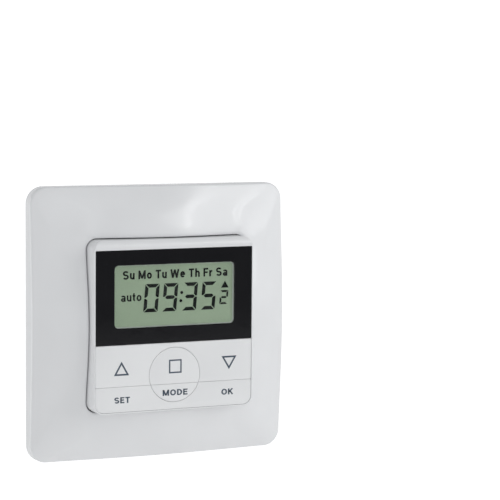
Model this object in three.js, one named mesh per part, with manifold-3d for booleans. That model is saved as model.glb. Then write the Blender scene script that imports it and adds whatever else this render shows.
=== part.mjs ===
// Programmable wall thermostat for a standard 60 mm wall box, in millimetres.
//
// A crowned square cover frame surrounds a 50 x 50 control module with a black display panel, a reflective
// LCD, two rocker bars and two half-round keys. Behind the wall line a relay module hangs on a steel plate.
//
// Everything is modelled in the panel frame: +X right, +Y up and +Z out of the wall, with Z = 0 on the wall.
// The last group turns that frame, so that the finished part has +Z up and its front facing -Y.

import * as THREE from "three";
import { mergeVertices } from "three/addons/utils/BufferGeometryUtils.js";
import Module from "manifold-3d";

const wasm = await Module();
wasm.setup();

// ---------------------------------------------------------------- driving dimensions

const CLEARANCE = 0.05; // between pieces that rest on each other
const SEAM = 0.2; // visible gap round a key
const SEGMENTS = 16; // round a full circle

// Cover frame
const FRAME_HALF = 40;
const FRAME_CORNER = 5;
const FRAME_WALL = 2;
const FRAME_EDGE = 4; // where the rounded outer edge meets the crown, at the corners
const EDGE_LIFT = 1.8; // how much higher it is at the middle of each side
const CORNER_SWELL = 5; // how much rounder the corners are half way up the crown
const OPENING_HALF = 25.25;
const OPENING_CORNER = 3.2;
const CROWN_LOW = 10.3; // crown height at the corners of the opening
const CROWN_RISE = 2.4; // how much higher it is at the middle of each side
const LIP_HALF = 23.6; // the lip that the control module clamps
const LIP_BACK = 1.6;
const LIP_FRONT = 2.8;

// Control module
const MODULE_HALF = 25;
const MODULE_CORNER = 3;
const MODULE_BACK = 3;
const FACE = 16; // height of the front face over the wall
const RIM = 0.4;
const MODULE_WALL = 1.6;
const PLATE_BACK = 12.4; // inner face of the front plate
const KEY_FLOOR = 13.8; // front of the plate under the keys
const PANEL_FLOOR = 15; // front of the ledge under the display panel
const PANEL_TOP = 22.2;
const PANEL_BOTTOM = -5.1;
const BROW_DROP = 1.3; // how far the strip over the display falls away

// Display
const SIGHT = { x: -0.1, y: 8.8, width: 37.2, height: 18, corner: 1.2 };
const LCD = { left: -21, right: 21, bottom: -2.7, top: 20.4, ledge: 2.1, glass: 1.1 };

// Keys
const KEY_BACK = 14.4;
const KEY_FRONT = 15.9;
const ROW_SEAM = -17.2; // height of the seam between the two rows of keys
const DIAL = { y: -14.5, radius: 7.95 };
const SIDE_KEY_X = 16.6;
const UPPER_ROW = -12;
const LOWER_ROW = -19.6;
const HOLE = { halfWidth: 4.1, halfHeight: 2.4 }; // in the plate, under each key
const HOOK = { inner: 3.2, leg: 3.9, foot: 4.6, halfHeight: 1.2, back: 10.7, front: 11.7 };

// Boards and what they carry
const CONTROL_BOARD = { half: 22.8, back: 8, front: 9.6 };
const SWITCH = { size: 6, height: 2.5, plunger: 1.75, plungerTop: 12.9, plungerFoot: 11 };
const BOSS = { x: 21.2, y: -6.9, radius: 1.9 };
const REAR_COVER = { half: 23.2, back: 3.4, front: 4.6 };
const HEADER = { y: -10, pitch: 2.54, pins: 6, halfWidth: 8.1, halfHeight: 1.3 };

// Support plate and relay module
const PLATE_HALF = 35;
const PLATE_THICK = 1.5;
const BOX_SCREWS = 30; // from the centre: two box screws stand 60 apart
const HOUSING = { halfWidth: 22.5, halfHeight: 20.5, corner: 9, back: -26, wall: 1.6 };
const POWER_BOARD = { back: -6.6, front: -5 };
const CORNER_SCREW = { x: 15.5, y: 15 };
const TERMINALS = {
  count: 5, pitch: 7.1, halfWidth: 17.8, bottom: -20.4, top: -10.6, back: -25.9, front: -8,
};

// ---------------------------------------------------------------- materials

const finish = (color, roughness, metalness = 0) =>
  new THREE.MeshStandardMaterial({ color, roughness, metalness });

const FINISH = {
  frame: finish(0xe4e6e9, 0.22),
  keys: finish(0xeaebed, 0.35),
  panel: finish(0x121214, 0.1),
  lens: finish(0xdfe8e4, 0.05),
  lcd: finish(0x8c9b86, 0.3),
  holder: finish(0xb9bdb9, 0.5),
  rubber: finish(0x2b2b2e, 0.7),
  board: finish(0x1f6a3c, 0.45),
  black: finish(0x1a1a1c, 0.5),
  grey: finish(0x8f9496, 0.5),
  steel: finish(0xc4c7ca, 0.3, 0.9),
  plated: finish(0xb4b8bd, 0.35, 0.9),
  yellow: finish(0xd8b13a, 0.4),
  blue: finish(0x27508c, 0.4),
};

// ---------------------------------------------------------------- solids

// A closed geometry as a solid that can be joined and cut.
function solid(geometry) {
  const bare = geometry.clone();
  bare.deleteAttribute("normal");
  bare.deleteAttribute("uv");
  const merged = mergeVertices(bare, 1e-4);
  return new wasm.Manifold(
    new wasm.Mesh({
      numProp: 3,
      vertProperties: merged.attributes.position.array,
      triVerts: new Uint32Array(merged.index.array),
    }),
  );
}

// A solid as a geometry again.
function geometryOf(body) {
  const mesh = body.getMesh();
  return new THREE.BufferGeometry()
    .setAttribute("position", new THREE.BufferAttribute(new Float32Array(mesh.vertProperties), 3))
    .setIndex(new THREE.BufferAttribute(new Uint32Array(mesh.triVerts), 1));
}

// A box between two corners.
function block(x0, x1, y0, y1, z0, z1) {
  const box = new THREE.BoxGeometry(x1 - x0, y1 - y0, z1 - z0);
  return solid(box.translate((x0 + x1) / 2, (y0 + y1) / 2, (z0 + z1) / 2));
}

// A flat shape pushed from height z0 to height z1.
function slab(shape, z0, z1) {
  const options = { depth: z1 - z0, bevelEnabled: false, curveSegments: 2 };
  return solid(new THREE.ExtrudeGeometry(shape, options).translate(0, 0, z0));
}

// A rectangle with its corners rounded: one radius, or [bottom, top].
function roundedRect(x0, x1, y0, y1, radius) {
  const [low, high] = Array.isArray(radius) ? radius : [radius, radius];
  const shape = new THREE.Shape();
  shape.moveTo(x0 + low, y0).lineTo(x1 - low, y0);
  if (low) shape.absarc(x1 - low, y0 + low, low, -Math.PI / 2, 0);
  shape.lineTo(x1, y1 - high);
  if (high) shape.absarc(x1 - high, y1 - high, high, 0, Math.PI / 2);
  shape.lineTo(x0 + high, y1);
  if (high) shape.absarc(x0 + high, y1 - high, high, Math.PI / 2, Math.PI);
  shape.lineTo(x0, y0 + low);
  if (low) shape.absarc(x0 + low, y0 + low, low, Math.PI, 1.5 * Math.PI);
  return shape;
}

// A round bar along Z.
function rod(x, y, radius, z0, z1, sides = SEGMENTS) {
  const bar = new THREE.CylinderGeometry(radius, radius, z1 - z0, sides).rotateX(Math.PI / 2);
  return solid(bar.translate(x, y, (z0 + z1) / 2));
}

// Cuts or joins a list of solids.
const cutAll = (body, tools) => tools.reduce((left, tool) => left.subtract(tool), body);
const joinAll = (body, more) => more.reduce((sum, next) => sum.add(next), body);

// ---------------------------------------------------------------- scene graph

const panel = new THREE.Group();
const controlModule = new THREE.Group();
const relayModule = new THREE.Group();
panel.add(controlModule, relayModule);

// Puts a solid into a group as a named mesh.
function piece(group, name, body, material) {
  const mesh = new THREE.Mesh(geometryOf(body), material);
  mesh.name = name;
  group.add(mesh);
  return mesh;
}

// ---------------------------------------------------------------- cover frame

// The frame is one section carried round the rounded-square opening. Each section point is a rounded square
// of its own, and its height follows the crown, which swells along each side of the opening.
function coverFrame() {
  const SIDE_STEPS = 6;
  const CORNER_STEPS = 3;
  const CROWN_STEPS = 4;

  // One quarter of the way round: from the middle of the corner arc along a side to the next corner.
  const stations = [];
  for (let quarter = 0; quarter < 4; quarter++) {
    for (let i = 0; i < SIDE_STEPS; i++) stations.push({ quarter, along: (2 * i) / SIDE_STEPS - 1, turn: 0 });
    for (let i = 0; i < CORNER_STEPS; i++) stations.push({ quarter, along: 1, turn: i / CORNER_STEPS });
  }

  // How far the crown stands over its corner height at a station: 1 at the middle of a side, 0 at its ends.
  const rise = ({ along }) => (1 - along * along) ** 1.5;
  const edge = (top) => FRAME_EDGE + (EDGE_LIFT * (top - CROWN_LOW)) / CROWN_RISE;

  const crownPoint = (share) => ({
    half: THREE.MathUtils.lerp(FRAME_HALF - 1.2, OPENING_HALF + 0.5, share),
    corner: THREE.MathUtils.lerp(FRAME_CORNER - 0.8, OPENING_CORNER + 0.3, share)
      + CORNER_SWELL * Math.sin(share * Math.PI) ** 2,
    height: (top) =>
      THREE.MathUtils.lerp(edge(top), top, Math.sin((share * Math.PI) / 2) * 0.55 + share * 0.45),
  });
  const at = (half, corner, height) =>
    ({ half, corner, height: typeof height === "number" ? () => height : height });

  const inner = FRAME_WALL;
  const section = [
    at(FRAME_HALF, FRAME_CORNER, 0),
    at(FRAME_HALF, FRAME_CORNER, (top) => edge(top) - 1),
    at(FRAME_HALF - 0.35, FRAME_CORNER - 0.2, (top) => edge(top) - 0.3),
    ...Array.from({ length: CROWN_STEPS + 1 }, (_, i) => crownPoint(i / CROWN_STEPS)),
    at(OPENING_HALF, OPENING_CORNER, (top) => top - 0.4),
    at(OPENING_HALF, OPENING_CORNER, LIP_FRONT),
    at(LIP_HALF, OPENING_CORNER - 1, LIP_FRONT),
    at(LIP_HALF, OPENING_CORNER - 1, LIP_BACK),
    at(OPENING_HALF + inner, OPENING_CORNER + inner, LIP_BACK),
    at(OPENING_HALF + inner, OPENING_CORNER + inner, (top) => top - 3),
    at(FRAME_HALF - inner - 0.6, FRAME_CORNER - 1.6, FRAME_EDGE - 1.2),
    at(FRAME_HALF - inner, FRAME_CORNER - 1.4, 0),
  ];

  const place = (station, point) => {
    const straight = point.half - point.corner;
    const angle = (station.turn * Math.PI) / 2;
    const x = straight + point.corner * Math.cos(angle);
    const y = station.along * straight + point.corner * Math.sin(angle);
    const spin = (station.quarter * Math.PI) / 2;
    const top = CROWN_LOW + CROWN_RISE * rise(station);
    return [
      x * Math.cos(spin) - y * Math.sin(spin),
      x * Math.sin(spin) + y * Math.cos(spin),
      point.height(top),
    ];
  };

  const positions = stations.flatMap((station) => section.flatMap((point) => place(station, point)));
  const index = [];
  const across = section.length;
  for (let i = 0; i < stations.length; i++) {
    for (let j = 0; j < across; j++) {
      const a = i * across + j;
      const b = i * across + ((j + 1) % across);
      const c = ((i + 1) % stations.length) * across + ((j + 1) % across);
      const d = ((i + 1) % stations.length) * across + j;
      index.push(a, d, b, b, d, c);
    }
  }
  return solid(
    new THREE.BufferGeometry()
      .setAttribute("position", new THREE.BufferAttribute(new Float32Array(positions), 3))
      .setIndex(index),
  );
}

piece(panel, "cover_frame", coverFrame(), FINISH.frame);

// ---------------------------------------------------------------- control module

const KEYS = {
  up: { x: -SIDE_KEY_X, y: UPPER_ROW },
  stop: { x: 0, y: UPPER_ROW },
  down: { x: SIDE_KEY_X, y: UPPER_ROW },
  set: { x: -SIDE_KEY_X, y: LOWER_ROW },
  mode: { x: 0, y: LOWER_ROW },
  ok: { x: SIDE_KEY_X, y: LOWER_ROW },
};

// The white shell: an open-backed box whose front is rebated for the display panel and for the keys.
function bezel() {
  const half = MODULE_HALF;
  const well = half - RIM;
  const cavity = half - MODULE_WALL;
  const shell = slab(roundedRect(-half, half, -half, half, MODULE_CORNER), MODULE_BACK, FACE);
  const above = FACE + 1;

  // The brow over the display rolls back to the top edge in three facets.
  const brow = new THREE.Shape();
  brow.moveTo(PANEL_TOP + 0.2, FACE);
  brow.quadraticCurveTo(PANEL_TOP + 1.8, FACE - 0.1, half + 0.1, FACE - BROW_DROP);
  brow.lineTo(half + 0.1, above).lineTo(PANEL_TOP + 0.2, above);
  const browCut = new THREE.ExtrudeGeometry(brow,
    { depth: 2 * half + 2, bevelEnabled: false, curveSegments: 4 })
    .translate(0, 0, -half - 1)
    .applyMatrix4(new THREE.Matrix4().set(0, 0, 1, 0, 1, 0, 0, 0, 0, 1, 0, 0, 0, 0, 0, 1));

  const cuts = [
    solid(browCut),
    slab(roundedRect(-well, well, PANEL_BOTTOM - 0.1, PANEL_TOP, 0), PANEL_FLOOR, above),
    slab(roundedRect(-well, well, -well, PANEL_BOTTOM, [MODULE_CORNER - RIM, 0]), KEY_FLOOR, above),
    block(LCD.left - 0.5, LCD.right + 0.5, LCD.bottom - 0.5, LCD.top + 0.5, PLATE_BACK - 1, above),
    ...Object.values(KEYS).map(({ x, y }) =>
      block(x - HOLE.halfWidth, x + HOLE.halfWidth, y - HOLE.halfHeight, y + HOLE.halfHeight,
        PLATE_BACK - 1, above),
    ),
    slab(roundedRect(-cavity, cavity, -cavity, cavity, MODULE_CORNER - 1.2), MODULE_BACK - 1, PLATE_BACK),
  ];
  const bosses = [-BOSS.x, BOSS.x].map((x) =>
    rod(x, BOSS.y, BOSS.radius, REAR_COVER.front + 0.1, PLATE_BACK + 0.5)
      .add(block(Math.min(x, Math.sign(x) * cavity), Math.max(x, Math.sign(x) * cavity),
        BOSS.y - 0.8, BOSS.y + 0.8, REAR_COVER.front + 0.1, PLATE_BACK + 0.5)),
  );
  const pilots = [-BOSS.x, BOSS.x].map((x) => rod(x, BOSS.y, 0.95, REAR_COVER.front - 1, 11, 12));
  return cutAll(joinAll(cutAll(shell, cuts), bosses), pilots);
}

piece(controlModule, "bezel", bezel(), FINISH.frame);

// The black panel, its clear lens, the LCD with its contact ledge, the tray behind it and the rubber connector.
function displayPieces() {
  const { x, y, width, height, corner } = SIGHT;
  const sight = (grow) =>
    roundedRect(x - width / 2 - grow, x + width / 2 + grow, y - height / 2 - grow, y + height / 2 + grow,
      corner + grow);
  const edge = MODULE_HALF - RIM - CLEARANCE;

  const surround = slab(roundedRect(-edge, edge, PANEL_BOTTOM + CLEARANCE, PANEL_TOP - CLEARANCE, 0.3),
    PANEL_FLOOR + CLEARANCE, FACE - CLEARANCE).subtract(slab(sight(0), PANEL_FLOOR - 1, FACE + 1));
  piece(controlModule, "display_surround", surround, FINISH.panel);

  piece(controlModule, "display_lens", slab(sight(-CLEARANCE), PANEL_FLOOR + 0.1, FACE - 0.15), FINISH.lens);

  const glassFront = PANEL_FLOOR - CLEARANCE;
  const glassMiddle = glassFront - LCD.glass;
  const glassBack = glassMiddle - LCD.glass;
  const lcd = block(LCD.left, LCD.right, LCD.bottom, LCD.top, glassMiddle, glassFront)
    .add(block(LCD.left, LCD.right, LCD.bottom + LCD.ledge, LCD.top, glassBack, glassMiddle + 0.01));
  piece(controlModule, "lcd_panel", lcd, FINISH.lcd);

  const trayFront = PLATE_BACK - 0.1;
  const trayBack = CONTROL_BOARD.front + 0.1;
  const tray = slab(roundedRect(-22.6, 22.6, -4.3, 21.9, 1), trayBack, trayFront)
    .add(block(LCD.left, LCD.right, LCD.bottom, LCD.top, trayFront - 0.1, glassBack - CLEARANCE))
    .subtract(block(-18, 18, 1.2, 18.8, trayBack - 1, FACE))
    .subtract(block(-19.3, 19.3, LCD.bottom - 0.05, LCD.bottom + LCD.ledge - 0.05, trayBack - 1, FACE));
  piece(controlModule, "lcd_holder", tray, FINISH.holder);

  const strip = block(-19, 19, LCD.bottom + 0.1, LCD.bottom + LCD.ledge - 0.2,
    CONTROL_BOARD.front + CLEARANCE, glassMiddle - CLEARANCE);
  piece(controlModule, "contact_strip", strip, FINISH.rubber);
}

displayPieces();

// What every key has behind its face: a post over the switch and two snap legs that hook behind the plate.
function keyUnderside({ x, y }) {
  const post = rod(x, y, 1.6, SWITCH.plungerTop + CLEARANCE, KEY_BACK + 0.2, 12);
  const span = (side, from, to) =>
    [Math.min(side * from, side * to) + x, Math.max(side * from, side * to) + x];
  const low = y - HOOK.halfHeight;
  const high = y + HOOK.halfHeight;
  const legs = [-1, 1].flatMap((side) => [
    block(...span(side, HOOK.inner, HOOK.leg), low, high, HOOK.back, KEY_BACK + 0.2),
    block(...span(side, HOOK.inner, HOOK.foot), low, high, HOOK.back, HOOK.front),
  ]);
  return joinAll(post, legs);
}

// A rocker bar: a plate notched round the dial, with a ridge at its middle that it tips on.
function rocker(outline, ridgeY, keys) {
  const notch = rod(0, DIAL.y, DIAL.radius + SEAM, KEY_BACK - 1, FACE + 1, 40);
  const plate = slab(outline, KEY_BACK, KEY_FRONT).subtract(notch);
  const wedge = new THREE.Shape();
  wedge.moveTo(-0.7, KEY_BACK + 0.2).lineTo(0, KEY_FLOOR + CLEARANCE).lineTo(0.7, KEY_BACK + 0.2);
  const ridge = new THREE.ExtrudeGeometry(wedge, { depth: 0.8, bevelEnabled: false })
    .rotateX(Math.PI / 2)
    .translate(0, ridgeY + 0.4, 0);
  return joinAll(plate, [solid(ridge), ...keys.map(keyUnderside)]);
}

// One half of the round dial: what of its disc lies on one side of the row seam.
function dialKey(low, high, key) {
  const disc = rod(0, DIAL.y, DIAL.radius, KEY_BACK, KEY_FRONT, 40);
  const reach = DIAL.radius + 1;
  return disc.intersect(block(-reach, reach, low, high, KEY_BACK - 1, FACE + 1)).add(keyUnderside(key));
}

const keyEdge = MODULE_HALF - RIM - SEAM;
const keyTop = PANEL_BOTTOM - SEAM;
const upperLow = ROW_SEAM + SEAM / 2;
const lowerHigh = ROW_SEAM - SEAM / 2;

piece(controlModule, "rocker_up_down",
  rocker(roundedRect(-keyEdge, keyEdge, upperLow, keyTop, 0.15), keyTop - 0.55, [KEYS.up, KEYS.down]),
  FINISH.keys);
piece(controlModule, "rocker_set_ok",
  rocker(roundedRect(-keyEdge, keyEdge, -keyEdge, lowerHigh, [2.4, 0.15]), -keyEdge + 0.9,
    [KEYS.set, KEYS.ok]),
  FINISH.keys);
piece(controlModule, "key_stop", dialKey(upperLow, 0, KEYS.stop), FINISH.keys);
piece(controlModule, "key_mode", dialKey(-MODULE_HALF, lowerHigh, KEYS.mode), FINISH.keys);

// Six tactile switches: a square body on four feet with a round well, and the plunger that stands in the well.
function tactSwitch() {
  const half = SWITCH.size / 2;
  const base = CONTROL_BOARD.front + CLEARANCE;
  const feet = [-1, 1].map((side) =>
    block(-half - 1, half + 1, side * 2.2 - 0.35, side * 2.2 + 0.35, base, base + 0.3));
  return joinAll(block(-half, half, -half, half, base, base + SWITCH.height - 0.4), feet)
    .add(slab(roundedRect(-half + 0.2, half - 0.2, -half + 0.2, half - 0.2, 0.6),
      base + 1, base + SWITCH.height))
    .subtract(rod(0, 0, SWITCH.plunger + 0.15, SWITCH.plungerFoot - 0.6, FACE, 12));
}

for (const [name, { x, y }] of Object.entries(KEYS)) {
  piece(controlModule, `switch_${name}`, tactSwitch(), FINISH.plated).position.set(x, y, 0);
  const plunger = rod(0, 0, SWITCH.plunger, SWITCH.plungerFoot, SWITCH.plungerTop, 12);
  piece(controlModule, `plunger_${name}`, plunger, FINISH.black).position.set(x, y, 0);
}

// The control board, notched for the two screw bosses.
const boardHalf = CONTROL_BOARD.half;
const notches = [-1, 1].map((side) =>
  rod(side * BOSS.x, BOSS.y, BOSS.radius + 0.3, 0, FACE)
    .add(block(Math.min(side * BOSS.x, side * 25), Math.max(side * BOSS.x, side * 25),
      BOSS.y - BOSS.radius - 0.3, BOSS.y + BOSS.radius + 0.3, 0, FACE)),
);
piece(controlModule, "control_board",
  cutAll(slab(roundedRect(-boardHalf, boardHalf, -boardHalf, boardHalf, 1.2),
    CONTROL_BOARD.back, CONTROL_BOARD.front),
    notches), FINISH.board);

// The processor: a square package with four leads on each side.
function processor() {
  const top = CONTROL_BOARD.back - CLEARANCE;
  const body = block(-5, 5, -5, 5, top - 1.6, top - 0.1);
  const leads = [-3, -1, 1, 3].flatMap((offset) =>
    [-1, 1].flatMap((side) => {
      const inner = Math.min(side * 4.8, side * 6.2);
      const outer = Math.max(side * 4.8, side * 6.2);
      return [
        block(inner, outer, offset - 0.25, offset + 0.25, top - 0.3, top),
        block(offset - 0.25, offset + 0.25, inner, outer, top - 0.3, top),
      ];
    }),
  );
  return joinAll(body, leads);
}

piece(controlModule, "processor", processor(), FINISH.black).position.set(2, 8, 0);

// A coin-shaped memory capacitor that keeps the clock running through a power cut.
piece(controlModule, "backup_capacitor",
  rod(0, 0, 5.2, CONTROL_BOARD.back - 2.95, CONTROL_BOARD.back - CLEARANCE, 24)
    .add(rod(0, 0, 4.2, CONTROL_BOARD.back - 3.15, CONTROL_BOARD.back - 2.9, 24)),
  FINISH.plated).position.set(-14, 12, 0);

// The thermistor: an epoxy bead on two leads.
const bead = new THREE.SphereGeometry(1.2, 12, 8).translate(0, 0, CONTROL_BOARD.back - 1.9);
piece(controlModule, "temperature_sensor",
  joinAll(solid(bead), [-0.6, 0.6].map((x) =>
    block(x - 0.2, x + 0.2, -0.2, 0.2, CONTROL_BOARD.back - 2, CONTROL_BOARD.back - CLEARANCE))),
  FINISH.black).position.set(16, -17, 0);

// The plug between the two modules: a bar of square pins that reaches through the support plate.
const pinX = Array.from({ length: HEADER.pins }, (_, i) => (i - (HEADER.pins - 1) / 2) * HEADER.pitch);
piece(controlModule, "pin_header",
  joinAll(
    block(-HEADER.halfWidth, HEADER.halfWidth, -HEADER.halfHeight, HEADER.halfHeight, 5.4,
      CONTROL_BOARD.back - CLEARANCE),
    pinX.map((x) => block(x - 0.32, x + 0.32, -0.32, 0.32, -3.5, 6))),
  FINISH.black).position.set(0, HEADER.y, 0);

// The rear cover carries two barbed hooks that snap into slots of the support plate.
function rearCover() {
  const { half, back, front } = REAR_COVER;
  const hooks = [-1, 1].flatMap((side) => {
    const span = (a, b) => [Math.min(side * a, side * b), Math.max(side * a, side * b)];
    return [
      block(-3.5, 3.5, ...span(20.8, 22), -1.4, back + 0.2),
      block(-3.5, 3.5, ...span(20.8, 22.8), -1.4, -0.3),
    ];
  });
  return cutAll(joinAll(slab(roundedRect(-half, half, -half, half, 1.6), back, front), hooks), [
    block(-HEADER.halfWidth - 0.6, HEADER.halfWidth + 0.6, HEADER.y - 2, HEADER.y + 2, back - 1, front + 1),
    rod(-BOSS.x, BOSS.y, 1.2, back - 1, front + 1, 16),
    rod(BOSS.x, BOSS.y, 1.2, back - 1, front + 1, 16),
  ]);
}

piece(controlModule, "control_rear_cover", rearCover(), FINISH.frame);

// ---------------------------------------------------------------- fasteners

// A pan-head screw along +Z with its head at z = 0 and below, and a cross or a single slot in the head.
function screw({ head, headHeight, shank, length, slots }) {
  const profile = [
    [0, -length],
    [shank * 0.4, -length],
    [shank, -length + shank],
    [shank, 0],
    [head, 0],
    [head, headHeight * 0.55],
    [head * 0.72, headHeight],
    [0, headHeight],
  ].map(([radius, height]) => new THREE.Vector2(radius, height));
  const body = solid(new THREE.LatheGeometry(profile, 12).rotateX(Math.PI / 2));
  const width = head * 0.15;
  const reach = slots === 2 ? head * 0.6 : head + 1;
  const depth = headHeight * 0.45;
  const cuts = [block(-reach, reach, -width, width, depth, headHeight + 1)];
  if (slots === 2) cuts.push(block(-width, width, -reach, reach, depth, headHeight + 1));
  return cutAll(body, cuts);
}

// Two screws hold the rear cover on the bezel. They drive from the back.
for (const [name, side] of [["left", -1], ["right", 1]]) {
  const body = screw({ head: 1.9, headHeight: 1.05, shank: 0.85, length: 6, slots: 2 });
  const mesh = piece(controlModule, `cover_screw_${name}`, body, FINISH.plated);
  mesh.position.set(side * BOSS.x, BOSS.y, REAR_COVER.back - CLEARANCE);
  mesh.rotation.y = Math.PI;
}

// ---------------------------------------------------------------- relay module

// The steel plate that is screwed to the wall box.
function supportPlate() {
  const thick = [-1, PLATE_THICK + 1];
  const slot = (x, y, halfX, halfY) =>
    slab(roundedRect(x - halfX, x + halfX, y - halfY, y + halfY, Math.min(halfX, halfY) - 0.001), ...thick);
  return cutAll(slab(roundedRect(-PLATE_HALF, PLATE_HALF, -PLATE_HALF, PLATE_HALF, 4), 0, PLATE_THICK), [
    slab(roundedRect(-14, 14, -13, 13, 3), ...thick),
    ...[-1, 1].flatMap((side) => [
      slot(side * BOX_SCREWS, 0, 2, 4),
      slot(0, side * BOX_SCREWS, 4, 2),
      block(-4.2, 4.2, side * 21.3 - 0.9, side * 21.3 + 0.9, ...thick),
      rod(side * 29, 29, 1.6, ...thick, 12),
      rod(side * 29, -29, 1.6, ...thick, 12),
      rod(side * CORNER_SCREW.x, CORNER_SCREW.y, 1.25, ...thick, 12),
      rod(side * CORNER_SCREW.x, -CORNER_SCREW.y, 1.25, ...thick, 12),
    ]),
  ]);
}

piece(relayModule, "support_plate", supportPlate(), FINISH.steel);

const corners = [
  ["upper_left", -1, 1],
  ["upper_right", 1, 1],
  ["lower_left", -1, -1],
  ["lower_right", 1, -1],
].map(([name, sideX, sideY]) =>
  ({ name, x: sideX * CORNER_SCREW.x, y: sideY * CORNER_SCREW.y, upper: sideY > 0 }));

const insideHousing = (inset) =>
  roundedRect(-HOUSING.halfWidth + inset, HOUSING.halfWidth - inset, -HOUSING.halfHeight + inset,
    HOUSING.halfHeight - inset, HOUSING.corner - inset);

// The rear casing: a box with four screw bosses, open behind and below where the terminals stand.
function housing() {
  const mouth = -CLEARANCE;
  const bosses = corners.map(({ x, y, upper }) =>
    rod(x, y, 2.2, upper ? -14 : -7.2, mouth)
      .add(block(x - 1, x + 1, Math.min(y, Math.sign(y) * 19.5), Math.max(y, Math.sign(y) * 19.5),
        upper ? -14 : -7.2, mouth)),
  );
  return cutAll(
    joinAll(
      slab(insideHousing(0), HOUSING.back, mouth).subtract(
        slab(insideHousing(HOUSING.wall), HOUSING.back + HOUSING.wall, 1)),
      bosses),
    [
      block(-TERMINALS.halfWidth - 0.3, TERMINALS.halfWidth + 0.3,
        -HOUSING.halfHeight - 1, TERMINALS.top + 0.3,
        HOUSING.back - 1, TERMINALS.front + 0.4),
      ...corners.map(({ x, y }) => rod(x, y, 1.05, -6, 1, 12)),
    ],
  );
}

piece(relayModule, "power_housing", housing(), FINISH.grey);

const bossRooms = corners.map(({ x, y }) =>
  rod(x, y, 2.5, -30, 1).add(
    block(x - 1.3, x + 1.3, Math.min(y, Math.sign(y) * 20), Math.max(y, Math.sign(y) * 20), -30, 1)),
);
const socketRoom = block(-HEADER.halfWidth - 0.6, HEADER.halfWidth + 0.6, HEADER.y - 2, HEADER.y + 2, -4, 1);
piece(relayModule, "power_lid",
  cutAll(slab(insideHousing(HOUSING.wall + 0.2), -1.9, -0.3), [...bossRooms, socketRoom]), FINISH.grey);
piece(relayModule, "power_board",
  cutAll(slab(insideHousing(HOUSING.wall + 0.3), POWER_BOARD.back, POWER_BOARD.front), bossRooms),
  FINISH.board);

const socketHoles = pinX.map((x) => block(x - 0.5, x + 0.5, -0.5, 0.5, -4, 2));
piece(relayModule, "header_socket",
  cutAll(block(-HEADER.halfWidth, HEADER.halfWidth, -HEADER.halfHeight - 0.3, HEADER.halfHeight + 0.3,
    POWER_BOARD.front + CLEARANCE, 0.6), socketHoles), FINISH.black).position.set(0, HEADER.y, 0);

// What stands on the back of the power board.
const boardBack = POWER_BOARD.back - CLEARANCE;

function relay() {
  const body = slab(roundedRect(-5.1, 5.1, -9.25, 9.25, 0.8), boardBack - 15.2, boardBack - 0.4);
  return body.add(block(-4.3, 4.3, -8.5, 8.5, boardBack - 0.5, boardBack));
}

piece(relayModule, "relay_1", relay(), FINISH.blue).position.set(-14.9, 0.75, 0);
piece(relayModule, "relay_2", relay(), FINISH.blue).position.set(-4.1, 0.75, 0);
piece(relayModule, "mains_capacitor",
  slab(roundedRect(-3.5, 3.5, -9, 9, 0.8), boardBack - 13, boardBack), FINISH.yellow).position.set(5.3, 1, 0);
piece(relayModule, "smoothing_capacitor",
  rod(0, 0, 4, boardBack - 12, boardBack - 0.5, 24).add(rod(0, 0, 3.6, boardBack - 1, boardBack, 24)),
  FINISH.black).position.set(14.2, 6, 0);
piece(relayModule, "fuse",
  rod(0, 0, 4.2, boardBack - 8, boardBack - 0.8, 24)
    .add(block(-2.7, 2.7, -0.4, 0.4, boardBack - 1, boardBack)),
  FINISH.black).position.set(14.2, -4, 0);

// The surge arrester: a disc that stands on edge on two wires.
const disc = new THREE.CylinderGeometry(4.4, 4.4, 3.2, 20).translate(0, 0, boardBack - 5.6);
piece(relayModule, "varistor",
  joinAll(solid(disc), [-2.5, 2.5].map((x) =>
    block(x - 0.35, x + 0.35, -0.35, 0.35, boardBack - 4, boardBack))),
  FINISH.blue).position.set(3, 14.4, 0);

const poleX = Array.from({ length: TERMINALS.count },
  (_, i) => (i - (TERMINALS.count - 1) / 2) * TERMINALS.pitch);

// A hole or bar along Y.
function rodY(x, z, radius, y0, y1, sides = 12) {
  const bar = new THREE.CylinderGeometry(radius, radius, y1 - y0, sides);
  return solid(bar.translate(x, (y0 + y1) / 2, z));
}

const ENTRY_Y = -14; // height of the wire entries
const SCREW_Z = -19.4; // depth of the clamp screws
const SCREW_SEAT = -17.2;

// The terminal block: wires enter from behind, clamp screws turn from below, and a pin of each pole is soldered.
function terminalBlock() {
  const { halfWidth, bottom, top, back, front } = TERMINALS;
  const wells = poleX.flatMap((x) => [
    rodY(x, SCREW_Z, 2.6, bottom - 1, SCREW_SEAT),
    rodY(x, SCREW_Z, 1.55, SCREW_SEAT - 1, ENTRY_Y),
    rod(x, ENTRY_Y, 1.85, back - 1, -16, 12),
  ]);
  const pins = poleX.map((x) => block(x - 0.5, x + 0.5, -13, -12, front - 0.5, boardBack));
  return joinAll(cutAll(block(-halfWidth, halfWidth, bottom, top, back, front), wells), pins);
}

piece(relayModule, "terminal_block", terminalBlock(), FINISH.grey);

poleX.forEach((x, i) => {
  const body = screw({ head: 2.35, headHeight: 1.7, shank: 1.3, length: 3.6, slots: 1 });
  const mesh = piece(relayModule, `terminal_screw_${i + 1}`, body, FINISH.plated);
  mesh.position.set(x, SCREW_SEAT - CLEARANCE, SCREW_Z);
  mesh.rotation.x = Math.PI / 2;
});

// Four screws hold the housing on the support plate. Their heads lie on the plate's front.
for (const { name, x, y } of corners) {
  const body = screw({ head: 2, headHeight: 1.3, shank: 0.95, length: 6, slots: 2 });
  piece(relayModule, `housing_screw_${name}`, body, FINISH.plated).position.set(x, y, PLATE_THICK + CLEARANCE);
}

// ---------------------------------------------------------------- the part

const thermostat = new THREE.Group();
panel.rotation.x = Math.PI / 2;
thermostat.add(panel);

export default thermostat;
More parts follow.
